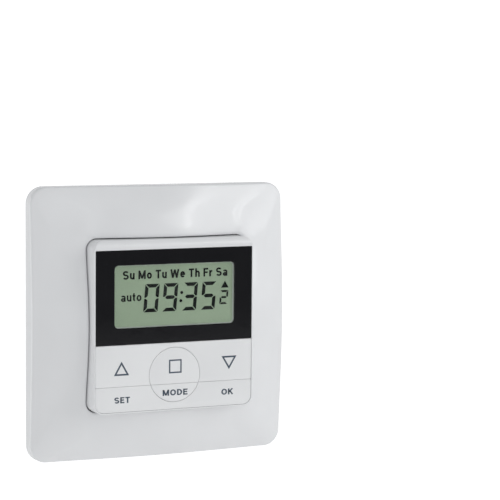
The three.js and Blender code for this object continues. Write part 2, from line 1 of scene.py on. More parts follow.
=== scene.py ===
# A programmable wall thermostat for a flush wall box, with its cover frame and control module in place.
# The sections follow the pieces from the wall outwards, in the order in which they are put together.

import math

import bpy
import numpy as np
from mathutils import Matrix, Vector


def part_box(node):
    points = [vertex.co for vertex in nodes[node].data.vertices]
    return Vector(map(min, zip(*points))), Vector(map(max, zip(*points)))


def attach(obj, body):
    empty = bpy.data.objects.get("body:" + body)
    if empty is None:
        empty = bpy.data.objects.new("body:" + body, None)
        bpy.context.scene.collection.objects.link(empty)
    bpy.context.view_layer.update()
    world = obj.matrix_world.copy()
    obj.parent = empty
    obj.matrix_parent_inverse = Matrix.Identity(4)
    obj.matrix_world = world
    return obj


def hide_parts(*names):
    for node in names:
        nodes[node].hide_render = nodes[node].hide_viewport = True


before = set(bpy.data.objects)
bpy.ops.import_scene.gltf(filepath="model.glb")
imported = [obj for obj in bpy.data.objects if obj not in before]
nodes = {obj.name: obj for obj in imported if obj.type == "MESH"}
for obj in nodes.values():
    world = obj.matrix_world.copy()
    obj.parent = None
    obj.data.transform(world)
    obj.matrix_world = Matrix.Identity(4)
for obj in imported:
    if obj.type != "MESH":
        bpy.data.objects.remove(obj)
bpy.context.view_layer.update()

MM = 0.001


# ---------------------------------------------------------------- studio
# A white room: a pale sheet far below and behind, and a soft sky with a dark card in it. A broad soft box and a
# narrow strip stand on the right, and a rim light on the left. The camera stands on the left, a little above.

CAMERA_AZIMUTH = math.radians(-25.5)
CAMERA_ELEVATION = math.radians(5.2)
CAMERA_ROLL = math.radians(0.45)
CAMERA_DISTANCE = 0.641
CAMERA_TARGET = Vector((0.0315, 0.0, 0.0194))
CAMERA_SENSOR, CAMERA_LENS = 36, 152.9
SKY_COLOUR = (0.97, 0.985, 1.0, 1)
SKY_LEVEL = 0.79
SKY_SLOPE = (0.14, -0.2, -0.48)
CARD_DIRECTION = (0.43, -0.895, -0.09)
CARD_SPREAD = (0.86, 0.985)
CARD_SHADE = 0.86
WHITE = (1, 1, 1, 1)
FLOOR_COLOUR, FLOOR_ROUGHNESS = (0.9, 0.9, 0.9, 1), 0.9
FLOOR_HALF_WIDTH = 6
FLOOR_FRONT, FLOOR_BEND = -2.1, 2.5
FLOOR_HEIGHT = -0.3
FLOOR_CURVE_DEPTH, FLOOR_CURVE_RISE = 1.5, 3
FLOOR_GLOW = (0.2, 0.6)
FLOOR_ROWS, FLOOR_COLUMNS = 41, 13


def place_camera():
    """The camera looks at its target from the given azimuth and elevation, rolled about its own axis."""
    back = Vector((
        math.sin(CAMERA_AZIMUTH) * math.cos(CAMERA_ELEVATION),
        -math.cos(CAMERA_AZIMUTH) * math.cos(CAMERA_ELEVATION),
        math.sin(CAMERA_ELEVATION),
    ))
    level = (-back).cross(Vector((0, 0, 1))).normalized()
    upright = level.cross(-back)
    right = math.cos(CAMERA_ROLL) * level + math.sin(CAMERA_ROLL) * upright
    up = math.cos(CAMERA_ROLL) * upright - math.sin(CAMERA_ROLL) * level
    data = bpy.data.cameras.new("camera")
    data.sensor_width, data.lens = CAMERA_SENSOR, CAMERA_LENS
    camera = bpy.data.objects.new("camera", data)
    turn = Matrix((right, up, back)).transposed().to_4x4()
    camera.matrix_world = Matrix.Translation(CAMERA_TARGET + back * CAMERA_DISTANCE) @ turn
    bpy.context.scene.collection.objects.link(camera)
    bpy.context.scene.camera = camera


def soft_box(name, place, width, height, power, upright=(0, 0, 1)):
    """A rectangular area light at place that faces the thermostat, its height as near upright as it can be."""
    data = bpy.data.lights.new(name, "AREA")
    data.shape = "RECTANGLE"
    data.size, data.size_y, data.energy = width, height, power
    light = bpy.data.objects.new(name, data)
    away = Vector(place).normalized()
    across = Vector(upright).cross(away).normalized()
    turn = Matrix((across, away.cross(across), away)).transposed().to_4x4()
    light.matrix_world = Matrix.Translation(place) @ turn
    bpy.context.scene.collection.objects.link(light)


def add_node(tree, kind, values=(), links=(), **settings):
    """Adds a shader node: settings are its properties, values fill its sockets and links feed them."""
    made = tree.nodes.new(kind)
    for key, value in settings.items():
        setattr(made, key, value)
    for socket, value in dict(values).items():
        made.inputs[socket].default_value = value
    for socket, source in dict(links).items():
        tree.links.new(source, made.inputs[socket])
    return made


def paint_sky():
    """A soft sky: SKY_LEVEL, plus a rise towards +X and -Y and a fall towards +Z, less a soft round dark card
    that the flat front mirrors towards the camera. Behind the object it is plain white."""
    world = bpy.data.worlds.new("white_room")
    bpy.context.scene.world = world
    world.use_nodes = True
    tree = world.node_tree
    tree.nodes.clear()
    direction = add_node(tree, "ShaderNodeTexCoord").outputs["Generated"]
    slope, towards_card = (add_node(tree, "ShaderNodeVectorMath", {1: vector}, {0: direction},
        operation="DOT_PRODUCT").outputs["Value"] for vector in (SKY_SLOPE, CARD_DIRECTION))
    limits = {"From Min": CARD_SPREAD[0], "From Max": CARD_SPREAD[1],
        "To Min": SKY_LEVEL, "To Max": SKY_LEVEL - CARD_SHADE}
    card = add_node(tree, "ShaderNodeMapRange", limits, {"Value": towards_card}, interpolation_type="SMOOTHSTEP")
    level = add_node(tree, "ShaderNodeMath", {}, {0: slope, 1: card.outputs[0]})
    glow = add_node(tree, "ShaderNodeBackground", {"Color": SKY_COLOUR}, {"Strength": level.outputs[0]})
    white = add_node(tree, "ShaderNodeBackground", {"Color": WHITE})
    seen = add_node(tree, "ShaderNodeLightPath").outputs["Is Camera Ray"]
    choose = add_node(tree, "ShaderNodeMixShader", {}, {0: seen, 1: glow.outputs[0], 2: white.outputs[0]})
    add_node(tree, "ShaderNodeOutputWorld", {}, {"Surface": choose.outputs[0]})


def grid_faces(rows, columns, wrap_rows=False, wrap_columns=True):
    """Quads over rows x columns points, row after row. A wrapped direction joins its last line to its first."""
    r = np.arange(rows if wrap_rows else rows - 1)[:, None]
    c = np.arange(columns if wrap_columns else columns - 1)[None, :]
    below, beside = (r + 1) % rows, (c + 1) % columns
    quads = [r * columns + c, r * columns + beside, below * columns + beside, below * columns + c]
    return np.stack(quads, axis=-1).reshape(-1, 4).tolist()


def lay_floor():
    """The pale sheet: flat under the object, then curved up behind it as a quarter of an ellipse."""
    across = np.linspace(-FLOOR_HALF_WIDTH, FLOOR_HALF_WIDTH, FLOOR_COLUMNS)
    run = np.linspace(0, 1, FLOOR_ROWS)
    flat = np.clip(run * 2, 0, 1)
    rise = np.clip(run * 2 - 1, 0, 1) * np.pi / 2
    depth = FLOOR_FRONT + (FLOOR_BEND - FLOOR_FRONT) * flat + FLOOR_CURVE_DEPTH * np.sin(rise)
    height = FLOOR_HEIGHT + FLOOR_CURVE_RISE * (1 - np.cos(rise))
    sheet = np.stack(np.broadcast_arrays(across[None, :], depth[:, None], height[:, None]), axis=-1)
    mesh = bpy.data.meshes.new("floor")
    mesh.from_pydata(sheet.reshape(-1, 3), [], grid_faces(FLOOR_ROWS, FLOOR_COLUMNS, wrap_columns=False))
    mesh.shade_smooth()
    floor = bpy.data.objects.new("floor", mesh)
    bpy.context.scene.collection.objects.link(floor)
    paper = bpy.data.materials.new("pale_paper")
    paper.use_nodes = True
    tree = paper.node_tree
    shader = tree.nodes["Principled BSDF"]
    shader.inputs["Base Color"].default_value = FLOOR_COLOUR
    shader.inputs["Roughness"].default_value = FLOOR_ROUGHNESS
    shader.inputs["Emission Color"].default_value = WHITE
    seen = add_node(tree, "ShaderNodeLightPath").outputs["Is Camera Ray"]
    limits = {"To Min": FLOOR_GLOW[0], "To Max": FLOOR_GLOW[1]}
    glow = add_node(tree, "ShaderNodeMapRange", limits, {"Value": seen})
    tree.links.new(glow.outputs[0], shader.inputs["Emission Strength"])
    mesh.materials.append(paper)


place_camera()
paint_sky()
lay_floor()
soft_box("right_soft_box", (0.8, -0.67, 0.5), 0.75, 0.9, 2.6)
soft_box("right_strip_box", (0.56, -0.6, 0.72), 0.06, 0.6, 0.34, (-0.05, 0.7, 0.7))
soft_box("left_rim_box", (-0.9, 0.45, 0.1), 0.4, 0.9, 1.6)
bpy.context.scene.view_settings.view_transform = "Standard"


# ---------------------------------------------------------------- support plate
# A zinc-plated steel sheet, punched and slightly deburred. Two screws of the wall box hold it, and it carries the
# relay housing behind it and the cover frame and control module in front.

def start_group(name, inputs, outputs):
    """A shader node group with these sockets: its tree, the outputs of its input node and its output node."""
    tree = bpy.data.node_groups.new(name, "ShaderNodeTree")
    for label, value in inputs.items():
        kind = "NodeSocketColor" if isinstance(value, tuple) else "NodeSocketFloat"
        tree.interface.new_socket(label, in_out="INPUT", socket_type=kind).default_value = value
    for label, kind in outputs.items():
        tree.interface.new_socket(label, in_out="OUTPUT", socket_type=kind)
    return tree, tree.nodes.new("NodeGroupInput").outputs, tree.nodes.new("NodeGroupOutput")


def noise(tree, scale, detail=2, stretch=(1, 1, 1)):
    """Noise over the piece's own coordinates in metres, scale being its waves per metre."""
    place = add_node(tree, "ShaderNodeTexCoord").outputs["Object"]
    mapped = add_node(tree, "ShaderNodeMapping", {"Scale": stretch}, {"Vector": place})
    settings = {"Scale": scale, "Detail": detail, "Roughness": 0.55}
    return add_node(tree, "ShaderNodeTexNoise", settings, {"Vector": mapped.outputs[0]}).outputs["Fac"]


def spread(tree, source, low, high, start=0.3, end=0.7):
    """Maps a noise between start and end onto low to high."""
    limits = {"From Min": start, "From Max": end, "To Min": low, "To Max": high}
    return add_node(tree, "ShaderNodeMapRange", limits, {"Value": source}).outputs[0]


def combine(tree, operation, first, second):
    """One math node of two values, each a number or an output."""
    made = tree.nodes.new("ShaderNodeMath")
    made.operation = operation
    for socket, value in zip(made.inputs, (first, second)):
        if isinstance(value, (int, float)):
            socket.default_value = value
        else:
            tree.links.new(value, socket)
    return made.outputs[0]


def plus(tree, first, second):
    """The sum of two values."""
    return combine(tree, "ADD", first, second)


def times(tree, first, second):
    """The product of two values."""
    return combine(tree, "MULTIPLY", first, second)


def tint(tree, colour, amount):
    """A colour made lighter or darker by a factor that changes over the surface."""
    scaled = add_node(tree, "ShaderNodeVectorMath", {}, {0: colour}, operation="SCALE")
    tree.links.new(amount, scaled.inputs["Scale"])
    return scaled.outputs[0]


COLOUR_ROUGHNESS_HEIGHT = {
    "Colour": "NodeSocketColor",
    "Roughness": "NodeSocketFloat",
    "Height": "NodeSocketFloat",
}


def deliver(tree, result, colour, roughness, height):
    """Links a group's three results to its output node."""
    for label, source in zip(COLOUR_ROUGHNESS_HEIGHT, (colour, roughness, height)):
        tree.links.new(source, result.inputs[label])
    return tree


def plated_metal_group():
    """Zinc plate: spangled cloudy colour, fine rolling streaks along X, and small scattered scratches."""
    start = {"Colour": (0.7, 0.7, 0.7, 1), "Roughness": 0.3, "Streaks": 1.0}
    tree, given, result = start_group("plated_metal", start, COLOUR_ROUGHNESS_HEIGHT)
    clouds = spread(tree, noise(tree, 220, 3), 0.86, 1.08)
    streaks = noise(tree, 900, 2, (0.06, 1, 1))
    scratches = spread(tree, noise(tree, 2600, 1, (0.05, 1, 0.4)), 0, 1, 0.66, 0.72)
    worn = plus(tree, spread(tree, streaks, -0.06, 0.08), times(tree, scratches, 0.12))
    relief = plus(tree, times(tree, streaks, 3e-6), times(tree, scratches, -4e-6))
    return deliver(tree, result, tint(tree, given["Colour"], clouds), plus(tree, given["Roughness"], worn),
        times(tree, relief, given["Streaks"]))


def finish_with(name, group, values, constants=()):
    """A material whose Principled shader takes colour, roughness and bump from a group with these values."""
    material = bpy.data.materials.new(name)
    material.use_nodes = True
    tree = material.node_tree
    shader = tree.nodes["Principled BSDF"]
    for socket, value in dict(constants).items():
        shader.inputs[socket].default_value = value
    effect = add_node(tree, "ShaderNodeGroup", node_tree=group)
    for socket, value in values.items():
        effect.inputs[socket].default_value = value
    bump = add_node(tree, "ShaderNodeBump", {"Distance": 1.0}, {"Height": effect.outputs["Height"]})
    tree.links.new(effect.outputs["Colour"], shader.inputs["Base Color"])
    tree.links.new(effect.outputs["Roughness"], shader.inputs["Roughness"])
    tree.links.new(bump.outputs[0], shader.inputs["Normal"])
    return material


def dress(material, *names):
    """Gives CAD nodes a material in place of the plain one they came with."""
    for name in names:
        mesh = nodes[name].data
        mesh.materials.clear()
        mesh.materials.append(material)


def in_view(node):
    """The extent of a CAD node as the room sees it, in millimetres: left, right, bottom, top, back, front."""
    low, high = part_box(node)
    return [v / MM for v in (low[0], high[0], low[2], high[2], -high[1], -low[1])]


def on_wall(x, up, out):
    """Points in metres from millimetres across, up and out of the wall."""
    return np.stack(np.broadcast_arrays(x, -out, up), axis=-1) * MM


def outward(points, faces):
    """The faces, all turned round if together they enclose a negative volume. The volume is the sum of the boxes
    that the corners of each face's fan of triangles span from the origin."""
    fans = np.array([(face[0], *pair) for face in faces for pair in zip(face[1:], face[2:])])
    first, second, third = points[fans.T]
    return faces if np.sum(first * np.cross(second, third)) > 0 else [face[::-1] for face in faces]


def make_piece(name, points, faces, material, slot, body="root", sharp=35):
    """A closed piece that rides on a body. Edges flatter than the sharp angle are shaded smooth, and a face with
    more than four corners stays flat."""
    flat = points.reshape(-1, 3)
    mesh = bpy.data.meshes.new(name)
    mesh.from_pydata(flat, [], outward(flat, faces))
    mesh.polygons.foreach_set("use_smooth", [len(face) < 5 for face in faces])
    mesh.set_sharp_from_angle(angle=math.radians(sharp))
    mesh.materials.append(material)
    piece = bpy.data.objects.new(name, mesh)
    bpy.context.scene.collection.objects.link(piece)
    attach(piece, body)
    return piece


def rings_at(places):
    """Rings of points, from pairs of an outline and its height out of the wall."""
    return [on_wall(*np.transpose(outline), out) for outline, out in places]


def stack_rings(rings):
    """Points and faces of a closed shell: rings of equal length joined in order, and a flat face at each end."""
    points, count = np.concatenate(rings), len(rings[0])
    last = len(points) - count
    ends = [list(range(count))[::-1], list(range(last, last + count))]
    return points, outward(points, grid_faces(len(rings), count) + ends)


def prism(outline, back, front):
    """Points and faces of a flat outline of (x, up) drawn out from back to front."""
    return stack_rings(rings_at([(outline, back), (outline, front)]))


def gather(parts):
    """Several closed shells, each as points and faces, as one."""
    faces, used = [], 0
    for points, part in parts:
        faces += [[used + index for index in face] for face in part]
        used += len(points)
    return np.concatenate([points for points, _ in parts]), faces


def rounded_outline(left, right, bottom, top, low_radius, high_radius, arc=12):
    """A rectangle with round corners, anticlockwise from the lower right one, as an array of (x, up)."""
    turn = np.linspace(0, np.pi / 2, arc + 1)
    corners = []
    for number, (x, up, radius) in enumerate((
        (right - low_radius, bottom + low_radius, low_radius),
        (right - high_radius, top - high_radius, high_radius),
        (left + high_radius, top - high_radius, high_radius),
        (left + low_radius, bottom + low_radius, low_radius),
    )):
        angle = turn + (number - 1) * np.pi / 2
        corners.append(np.stack([x + radius * np.cos(angle), up + radius * np.sin(angle)], axis=1))
    return np.concatenate(corners)


def dot(x, up, radius, sides=16):
    """A small round outline."""
    turn = np.linspace(0, 2 * np.pi, sides, endpoint=False)
    return np.stack([x + radius * np.cos(turn), up + radius * np.sin(turn)], axis=1)


SQUARE_ON = 0.9995


def settle(piece, sharp=35):
    """Makes a piece's modifiers part of its mesh. Faces square to an axis, and those with more than four corners,
    are flat."""
    shaped = bpy.data.meshes.new_from_object(piece.evaluated_get(bpy.context.evaluated_depsgraph_get()))
    piece.modifiers.clear()
    piece.data = shaped
    normals, corners = np.empty(3 * len(shaped.polygons)), np.empty(len(shaped.polygons), int)
    shaped.polygons.foreach_get("normal", normals)
    shaped.polygons.foreach_get("loop_total", corners)
    square_on = np.abs(normals.reshape(-1, 3)).max(axis=1) > SQUARE_ON
    shaped.polygons.foreach_set("use_smooth", (corners < 5) & ~square_on)
    shaped.set_sharp_from_angle(angle=math.radians(sharp))


def ease_edges(piece, width, over=math.radians(40)):
    """Rounds a piece's edges that are sharper than that angle."""
    bevel = piece.modifiers.new("eased_edges", "BEVEL")
    bevel.width, bevel.segments, bevel.angle_limit = width * MM, 2, over
    settle(piece)


def carve(piece, cutters):
    """Takes shells that don't meet one another, each as points and faces, out of a piece."""
    points, faces = gather(cutters)
    mesh = bpy.data.meshes.new("cutter")
    mesh.from_pydata(points, [], faces)
    cutter = bpy.data.objects.new("cutter", mesh)
    bpy.context.scene.collection.objects.link(cutter)
    cut = piece.modifiers.new("cut", "BOOLEAN")
    cut.operation, cut.solver, cut.object = "DIFFERENCE", "EXACT", cutter
    settle(piece)
    bpy.data.objects.remove(cutter)


PLATED_METAL = plated_metal_group()


def plated(name, colour, roughness, streaks=1.0):
    """A plated metal of that colour."""
    values = {"Colour": (*colour, 1), "Roughness": roughness, "Streaks": streaks}
    return finish_with(name, PLATED_METAL, values, {"Metallic": 1.0})


PLATE_LEFT, PLATE_RIGHT, PLATE_BOTTOM, PLATE_TOP, PLATE_BACK, PLATE_FRONT = in_view("support_plate")
PLATE_CORNER = 4
PLATE_EASE = 0.12
THROUGH = (PLATE_BACK - 1, PLATE_FRONT + 1)
BOX_SCREWS, BOX_SLOT = 30.0, (4, 2)
HOOK_SLOTS, HOOK_SLOT = 21.3, (4.2, 0.9)
CORNER_HOLES, CORNER_HOLE_RADIUS = 29.0, 1.6
HOUSING_HOLE_RADIUS = 1.25
MIDDLE_OPENING = (14, 13)


def centred(x, up, half_width, half_height, radius, arc=8):
    """A rectangle with round corners about a middle."""
    return rounded_outline(x - half_width, x + half_width, up - half_height, up + half_height,
        radius, radius, arc)


plate = make_piece("support_sheet", *prism(rounded_outline(PLATE_LEFT, PLATE_RIGHT, PLATE_BOTTOM, PLATE_TOP,
    PLATE_CORNER, PLATE_CORNER), PLATE_BACK, PLATE_FRONT), plated("zinc_sheet", (0.62, 0.63, 0.65), 0.34),
    "plated_steel")
housing_screws = [in_view(name) for name in nodes if name.startswith("housing_screw_")]
plate_holes = [centred(0, 0, *MIDDLE_OPENING, 3)]
for side in (-1, 1):
    plate_holes += [centred(side * BOX_SCREWS, 0, *BOX_SLOT[::-1], 1.99)]
    plate_holes += [centred(0, side * BOX_SCREWS, *BOX_SLOT, 1.99)]
    plate_holes += [centred(0, side * HOOK_SLOTS, *HOOK_SLOT, 0.2)]
    plate_holes += [dot(side * CORNER_HOLES, up, CORNER_HOLE_RADIUS, 32) for up in (-CORNER_HOLES, CORNER_HOLES)]
plate_holes += [dot((left + right) / 2, (low + high) / 2, HOUSING_HOLE_RADIUS, 24)
                for left, right, low, high, *_ in housing_screws]
carve(plate, [prism(outline, *THROUGH) for outline in plate_holes])
ease_edges(plate, PLATE_EASE)
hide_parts("support_plate")


# ---------------------------------------------------------------- relay housing
# The rear casing and its lid are moulded in grey plastic with a fine spark texture. Four screws through the
# support plate hold the casing, and the boards and relays stand inside it.

def moulded_plastic_group():
    """Moulded plastic: a slow drift of shade, a shallow ripple from the mould, fine grain, a trace of dust."""
    start = {"Colour": (0.8, 0.8, 0.8, 1), "Roughness": 0.3, "Drift": 0.02, "Ripple": 1.0, "Grain": 1.0,
        "Dust": 1.0}
    tree, given, result = start_group("moulded_plastic", start, COLOUR_ROUGHNESS_HEIGHT)
    drift = times(tree, spread(tree, noise(tree, 70, 2), -1, 1), given["Drift"])
    dust = spread(tree, noise(tree, 3500, 2), 0, 0.06, 0.62, 0.75)
    patches = spread(tree, noise(tree, 150, 3), -0.03, 0.03)
    marks = times(tree, plus(tree, dust, patches), given["Dust"])
    ripple = times(tree, noise(tree, 350, 1), times(tree, given["Ripple"], 4e-6))
    grain = times(tree, noise(tree, 7000, 2), times(tree, given["Grain"], 2e-6))
    return deliver(tree, result, tint(tree, given["Colour"], plus(tree, 1, drift)),
        plus(tree, given["Roughness"], marks), plus(tree, ripple, grain))


MOULDED_PLASTIC = moulded_plastic_group()


def moulded(name, colour, roughness, drift=0.03, grain=1.0, constants=(), ripple=1.0, dust=1.0):
    """A plain moulded plastic of that colour."""
    values = {"Colour": (*colour, 1), "Roughness": roughness, "Drift": drift, "Ripple": ripple, "Grain": grain,
        "Dust": dust}
    return finish_with(name, MOULDED_PLASTIC, values, constants)


grey_plastic = moulded("grey_plastic", (0.3, 0.32, 0.335), 0.46, 0.05, 6.0)
dress(grey_plastic, "power_lid")

HOUSE_LEFT, HOUSE_RIGHT, HOUSE_BOTTOM, HOUSE_TOP, HOUSE_BACK, HOUSE_MOUTH = in_view("power_housing")
HOUSE_CORNER = 9.0
HOUSE_WALL = 1.6
HOUSE_EDGE, MOUTH_EDGE = 0.8, 0.15
HOUSE_REAR = HOUSE_BACK + 0.1
GROOVE_FRONT, GROOVE_WIDTH, GROOVE_DEPTH, GROOVE_SLANT = -3.6, 0.5, 0.25, 0.05
BLOCK_LEFT, BLOCK_RIGHT, BLOCK_BOTTOM, BLOCK_TOP, BLOCK_BACK = in_view("terminal_block")[:5]
TERMINAL_FRONT = -8.0
BOSS_RADIUS, BOSS_BORE = 2.2, 1.05
LOWER_BOSS_BACK, UPPER_BOSS_BACK = -7.2, -14


def eased(width, steps):
    """Points round an eased edge, from the wall to the face, as inset and drop: width times one minus the cosine,
    and width times one minus the sine."""
    return [(width * (1 - math.cos(b)), width * (1 - math.sin(b))) for b in np.linspace(0, np.pi / 2, steps)]


def tube(x, up, bore, radius, back, front, sides):
    """A round tube that points out of the wall, as points and faces."""
    inner, outer = (dot(x, up, size, sides) for size in (bore, radius))
    points = np.concatenate(rings_at([(outer, back), (outer, front), (inner, front), (inner, back)]))
    return points, outward(points, grid_faces(4, sides, wrap_rows=True))


def casing(inset, out):
    """The casing's outline, smaller by inset, at that distance from the wall."""
    corner = HOUSE_CORNER - inset
    outline = rounded_outline(HOUSE_LEFT + inset, HOUSE_RIGHT - inset, HOUSE_BOTTOM + inset, HOUSE_TOP - inset,
        corner, corner, 24)
    return on_wall(*outline.T, out)


casing_rings = [casing(*place) for place in (
    (HOUSE_WALL, HOUSE_REAR + HOUSE_WALL),
    (HOUSE_WALL, HOUSE_MOUTH),
    (MOUTH_EDGE, HOUSE_MOUTH),
    (0, HOUSE_MOUTH - MOUTH_EDGE),
    (0, GROOVE_FRONT),
    (GROOVE_DEPTH, GROOVE_FRONT - GROOVE_SLANT),
    (GROOVE_DEPTH, GROOVE_FRONT - GROOVE_WIDTH),
    (0, GROOVE_FRONT - GROOVE_WIDTH - GROOVE_SLANT),
    *[(inset, HOUSE_REAR + drop) for inset, drop in eased(HOUSE_EDGE, 7)],
)]
rear_casing = make_piece("rear_casing", *stack_rings(casing_rings), grey_plastic, "grey_plastic")
notch = [(BLOCK_LEFT - 0.3, HOUSE_BOTTOM - 1), (BLOCK_RIGHT + 0.3, HOUSE_BOTTOM - 1),
         (BLOCK_RIGHT + 0.3, BLOCK_TOP + 0.3), (BLOCK_LEFT - 0.3, BLOCK_TOP + 0.3)]
carve(rear_casing, [prism(notch, HOUSE_BACK - 1, TERMINAL_FRONT + 0.4)])
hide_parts("power_housing")

bosses = []
for left, right, low, high, *_ in housing_screws:
    foot = UPPER_BOSS_BACK if low + high > 0 else LOWER_BOSS_BACK
    bosses.append(tube((left + right) / 2, (low + high) / 2, BOSS_BORE, BOSS_RADIUS, foot, HOUSE_MOUTH, 24))
make_piece("casing_bosses", *gather(bosses), grey_plastic, "grey_plastic")


# ---------------------------------------------------------------- what stands in the housing
# The boards are green glass-fibre laminate with copper tracks under the solder resist. The relays, capacitors,
# fuse and surge arrester are soldered to them, and two rows of pins join the boards.

def board_group():
    """Solder resist over tracks: two sets of crossing lines and a scatter of round tinned pads."""
    start = {"Colour": (0.02, 0.15, 0.05, 1), "Pitch": 2.54e-3}
    tree, given, result = start_group("solder_resist", start, COLOUR_ROUGHNESS_HEIGHT)
    own = add_node(tree, "ShaderNodeTexCoord").outputs["Object"]
    place = add_node(tree, "ShaderNodeSeparateXYZ", {}, {0: own})
    wander = spread(tree, noise(tree, 130, 0), -0.6, 0.6)
    steps = [combine(tree, "DIVIDE", place.outputs[axis], given["Pitch"]) for axis in ("X", "Z")]
    lines = [combine(tree, "FRACT", plus(tree, step, wander), 0) for step in steps]
    tracks = [combine(tree, "LESS_THAN", line, 0.3) for line in lines]
    laid = combine(tree, "GREATER_THAN", wander, -0.2)
    copper = times(tree, combine(tree, "MAXIMUM", *tracks), laid)
    shade = plus(tree, 0.8, times(tree, copper, 0.7))
    return deliver(tree, result, tint(tree, given["Colour"], shade),
        spread(tree, noise(tree, 900, 2), 0.28, 0.42), times(tree, copper, 2.5e-5))


laminate = finish_with("green_laminate", board_group(), {"Colour": (0.012, 0.12, 0.04, 1), "Pitch": 2.54e-3})
dress(laminate, "power_board", "control_board")


black_plastic = moulded("black_plastic", (0.015, 0.015, 0.017), 0.42, 0.1, 4)
relay_blue = moulded("relay_blue", (0.015, 0.07, 0.25), 0.33, 0.06, 2)
dress(relay_blue, "relay_1", "relay_2", "varistor")
dress(moulded("capacitor_yellow", (0.72, 0.42, 0.03), 0.38, 0.05, 2), "mains_capacitor")
dress(black_plastic, "smoothing_capacitor", "fuse", "header_socket", "pin_header", "processor",
    "temperature_sensor")


# ---------------------------------------------------------------- terminals
# A row of screw clamps for the mains and load wires. The body is moulded in pale grey, and the clamp screws are
# zinc-plated steel with a slot.

POLE_PITCH = 7.1
POLE_GROOVE, GROOVE_DEEP = 0.4, 1.2
ENTRY_UP, ENTRY_RADIUS, ENTRY_FLOOR = -14.0, 1.85, -16
CLAMP_OUT, CLAMP_SEAT = -19.4, -17.2
SCREW_WELL, SCREW_BORE = 2.6, 1.55
CAGE_BACK, CAGE_FRONT, CAGE_BORE, CAGE_RADIUS = -25.0, -16.2, 1.45, 1.8


def upright_rod(x, out, radius, low, high, sides=24):
    """A round bar that stands upright, as points and faces."""
    across, depth = dot(x, out, radius, sides).T
    return stack_rings([on_wall(across, low, depth), on_wall(across, high, depth)])


poles = (np.arange(5) - 2) * POLE_PITCH
clamp_row = make_piece("clamp_row", *prism(
    rounded_outline(BLOCK_LEFT, BLOCK_RIGHT, BLOCK_BOTTOM, BLOCK_TOP, 0.3, 0.3, 3), BLOCK_BACK, TERMINAL_FRONT),
    moulded("terminal_plastic", (0.42, 0.45, 0.48), 0.4, 0.04, 4), "terminal_plastic")
ease_edges(clamp_row, 0.2)
entries = [prism(dot(x, ENTRY_UP, ENTRY_RADIUS, 32), BLOCK_BACK - 1, ENTRY_FLOOR) for x in poles]
grooves = [prism(centred(x + POLE_PITCH / 2, ENTRY_UP, POLE_GROOVE, 8, 0.1, 2), BLOCK_BACK - 1,
                 BLOCK_BACK + GROOVE_DEEP) for x in poles[:-1]]
wells = [upright_rod(x, CLAMP_OUT, SCREW_WELL, BLOCK_BOTTOM - 1, CLAMP_SEAT) for x in poles]
carve(clamp_row, entries + grooves + wells)
carve(clamp_row, [upright_rod(x, CLAMP_OUT, SCREW_BORE, CLAMP_SEAT - 0.5, ENTRY_UP) for x in poles])
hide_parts("terminal_block")

cages = [tube(x, ENTRY_UP, CAGE_BORE, CAGE_RADIUS, CAGE_BACK, CAGE_FRONT, 32) for x in poles]
make_piece("wire_cages", *gather(cages), plated("brass_cage", (0.78, 0.6, 0.28), 0.3, 0.5), "plated_steel")
dress(plated("plated_screw", (0.68, 0.67, 0.63), 0.27, 0.6),
    *[name for name in nodes if "_screw_" in name], "backup_capacitor")


# ---------------------------------------------------------------- wiring label
# A paper label with the wiring diagram is stuck to the back of the casing, and the terminals are marked above
# their entries: three for the mains, and one for each direction of the load.

def bow(x, up, wide, tall, start, end, steps=15):
    """Points along part of an ellipse with its angles in degrees, as a list."""
    turn = np.radians(np.linspace(start, end, steps))
    return np.stack([x + wide * np.cos(turn), up + tall * np.sin(turn)], axis=1).tolist()


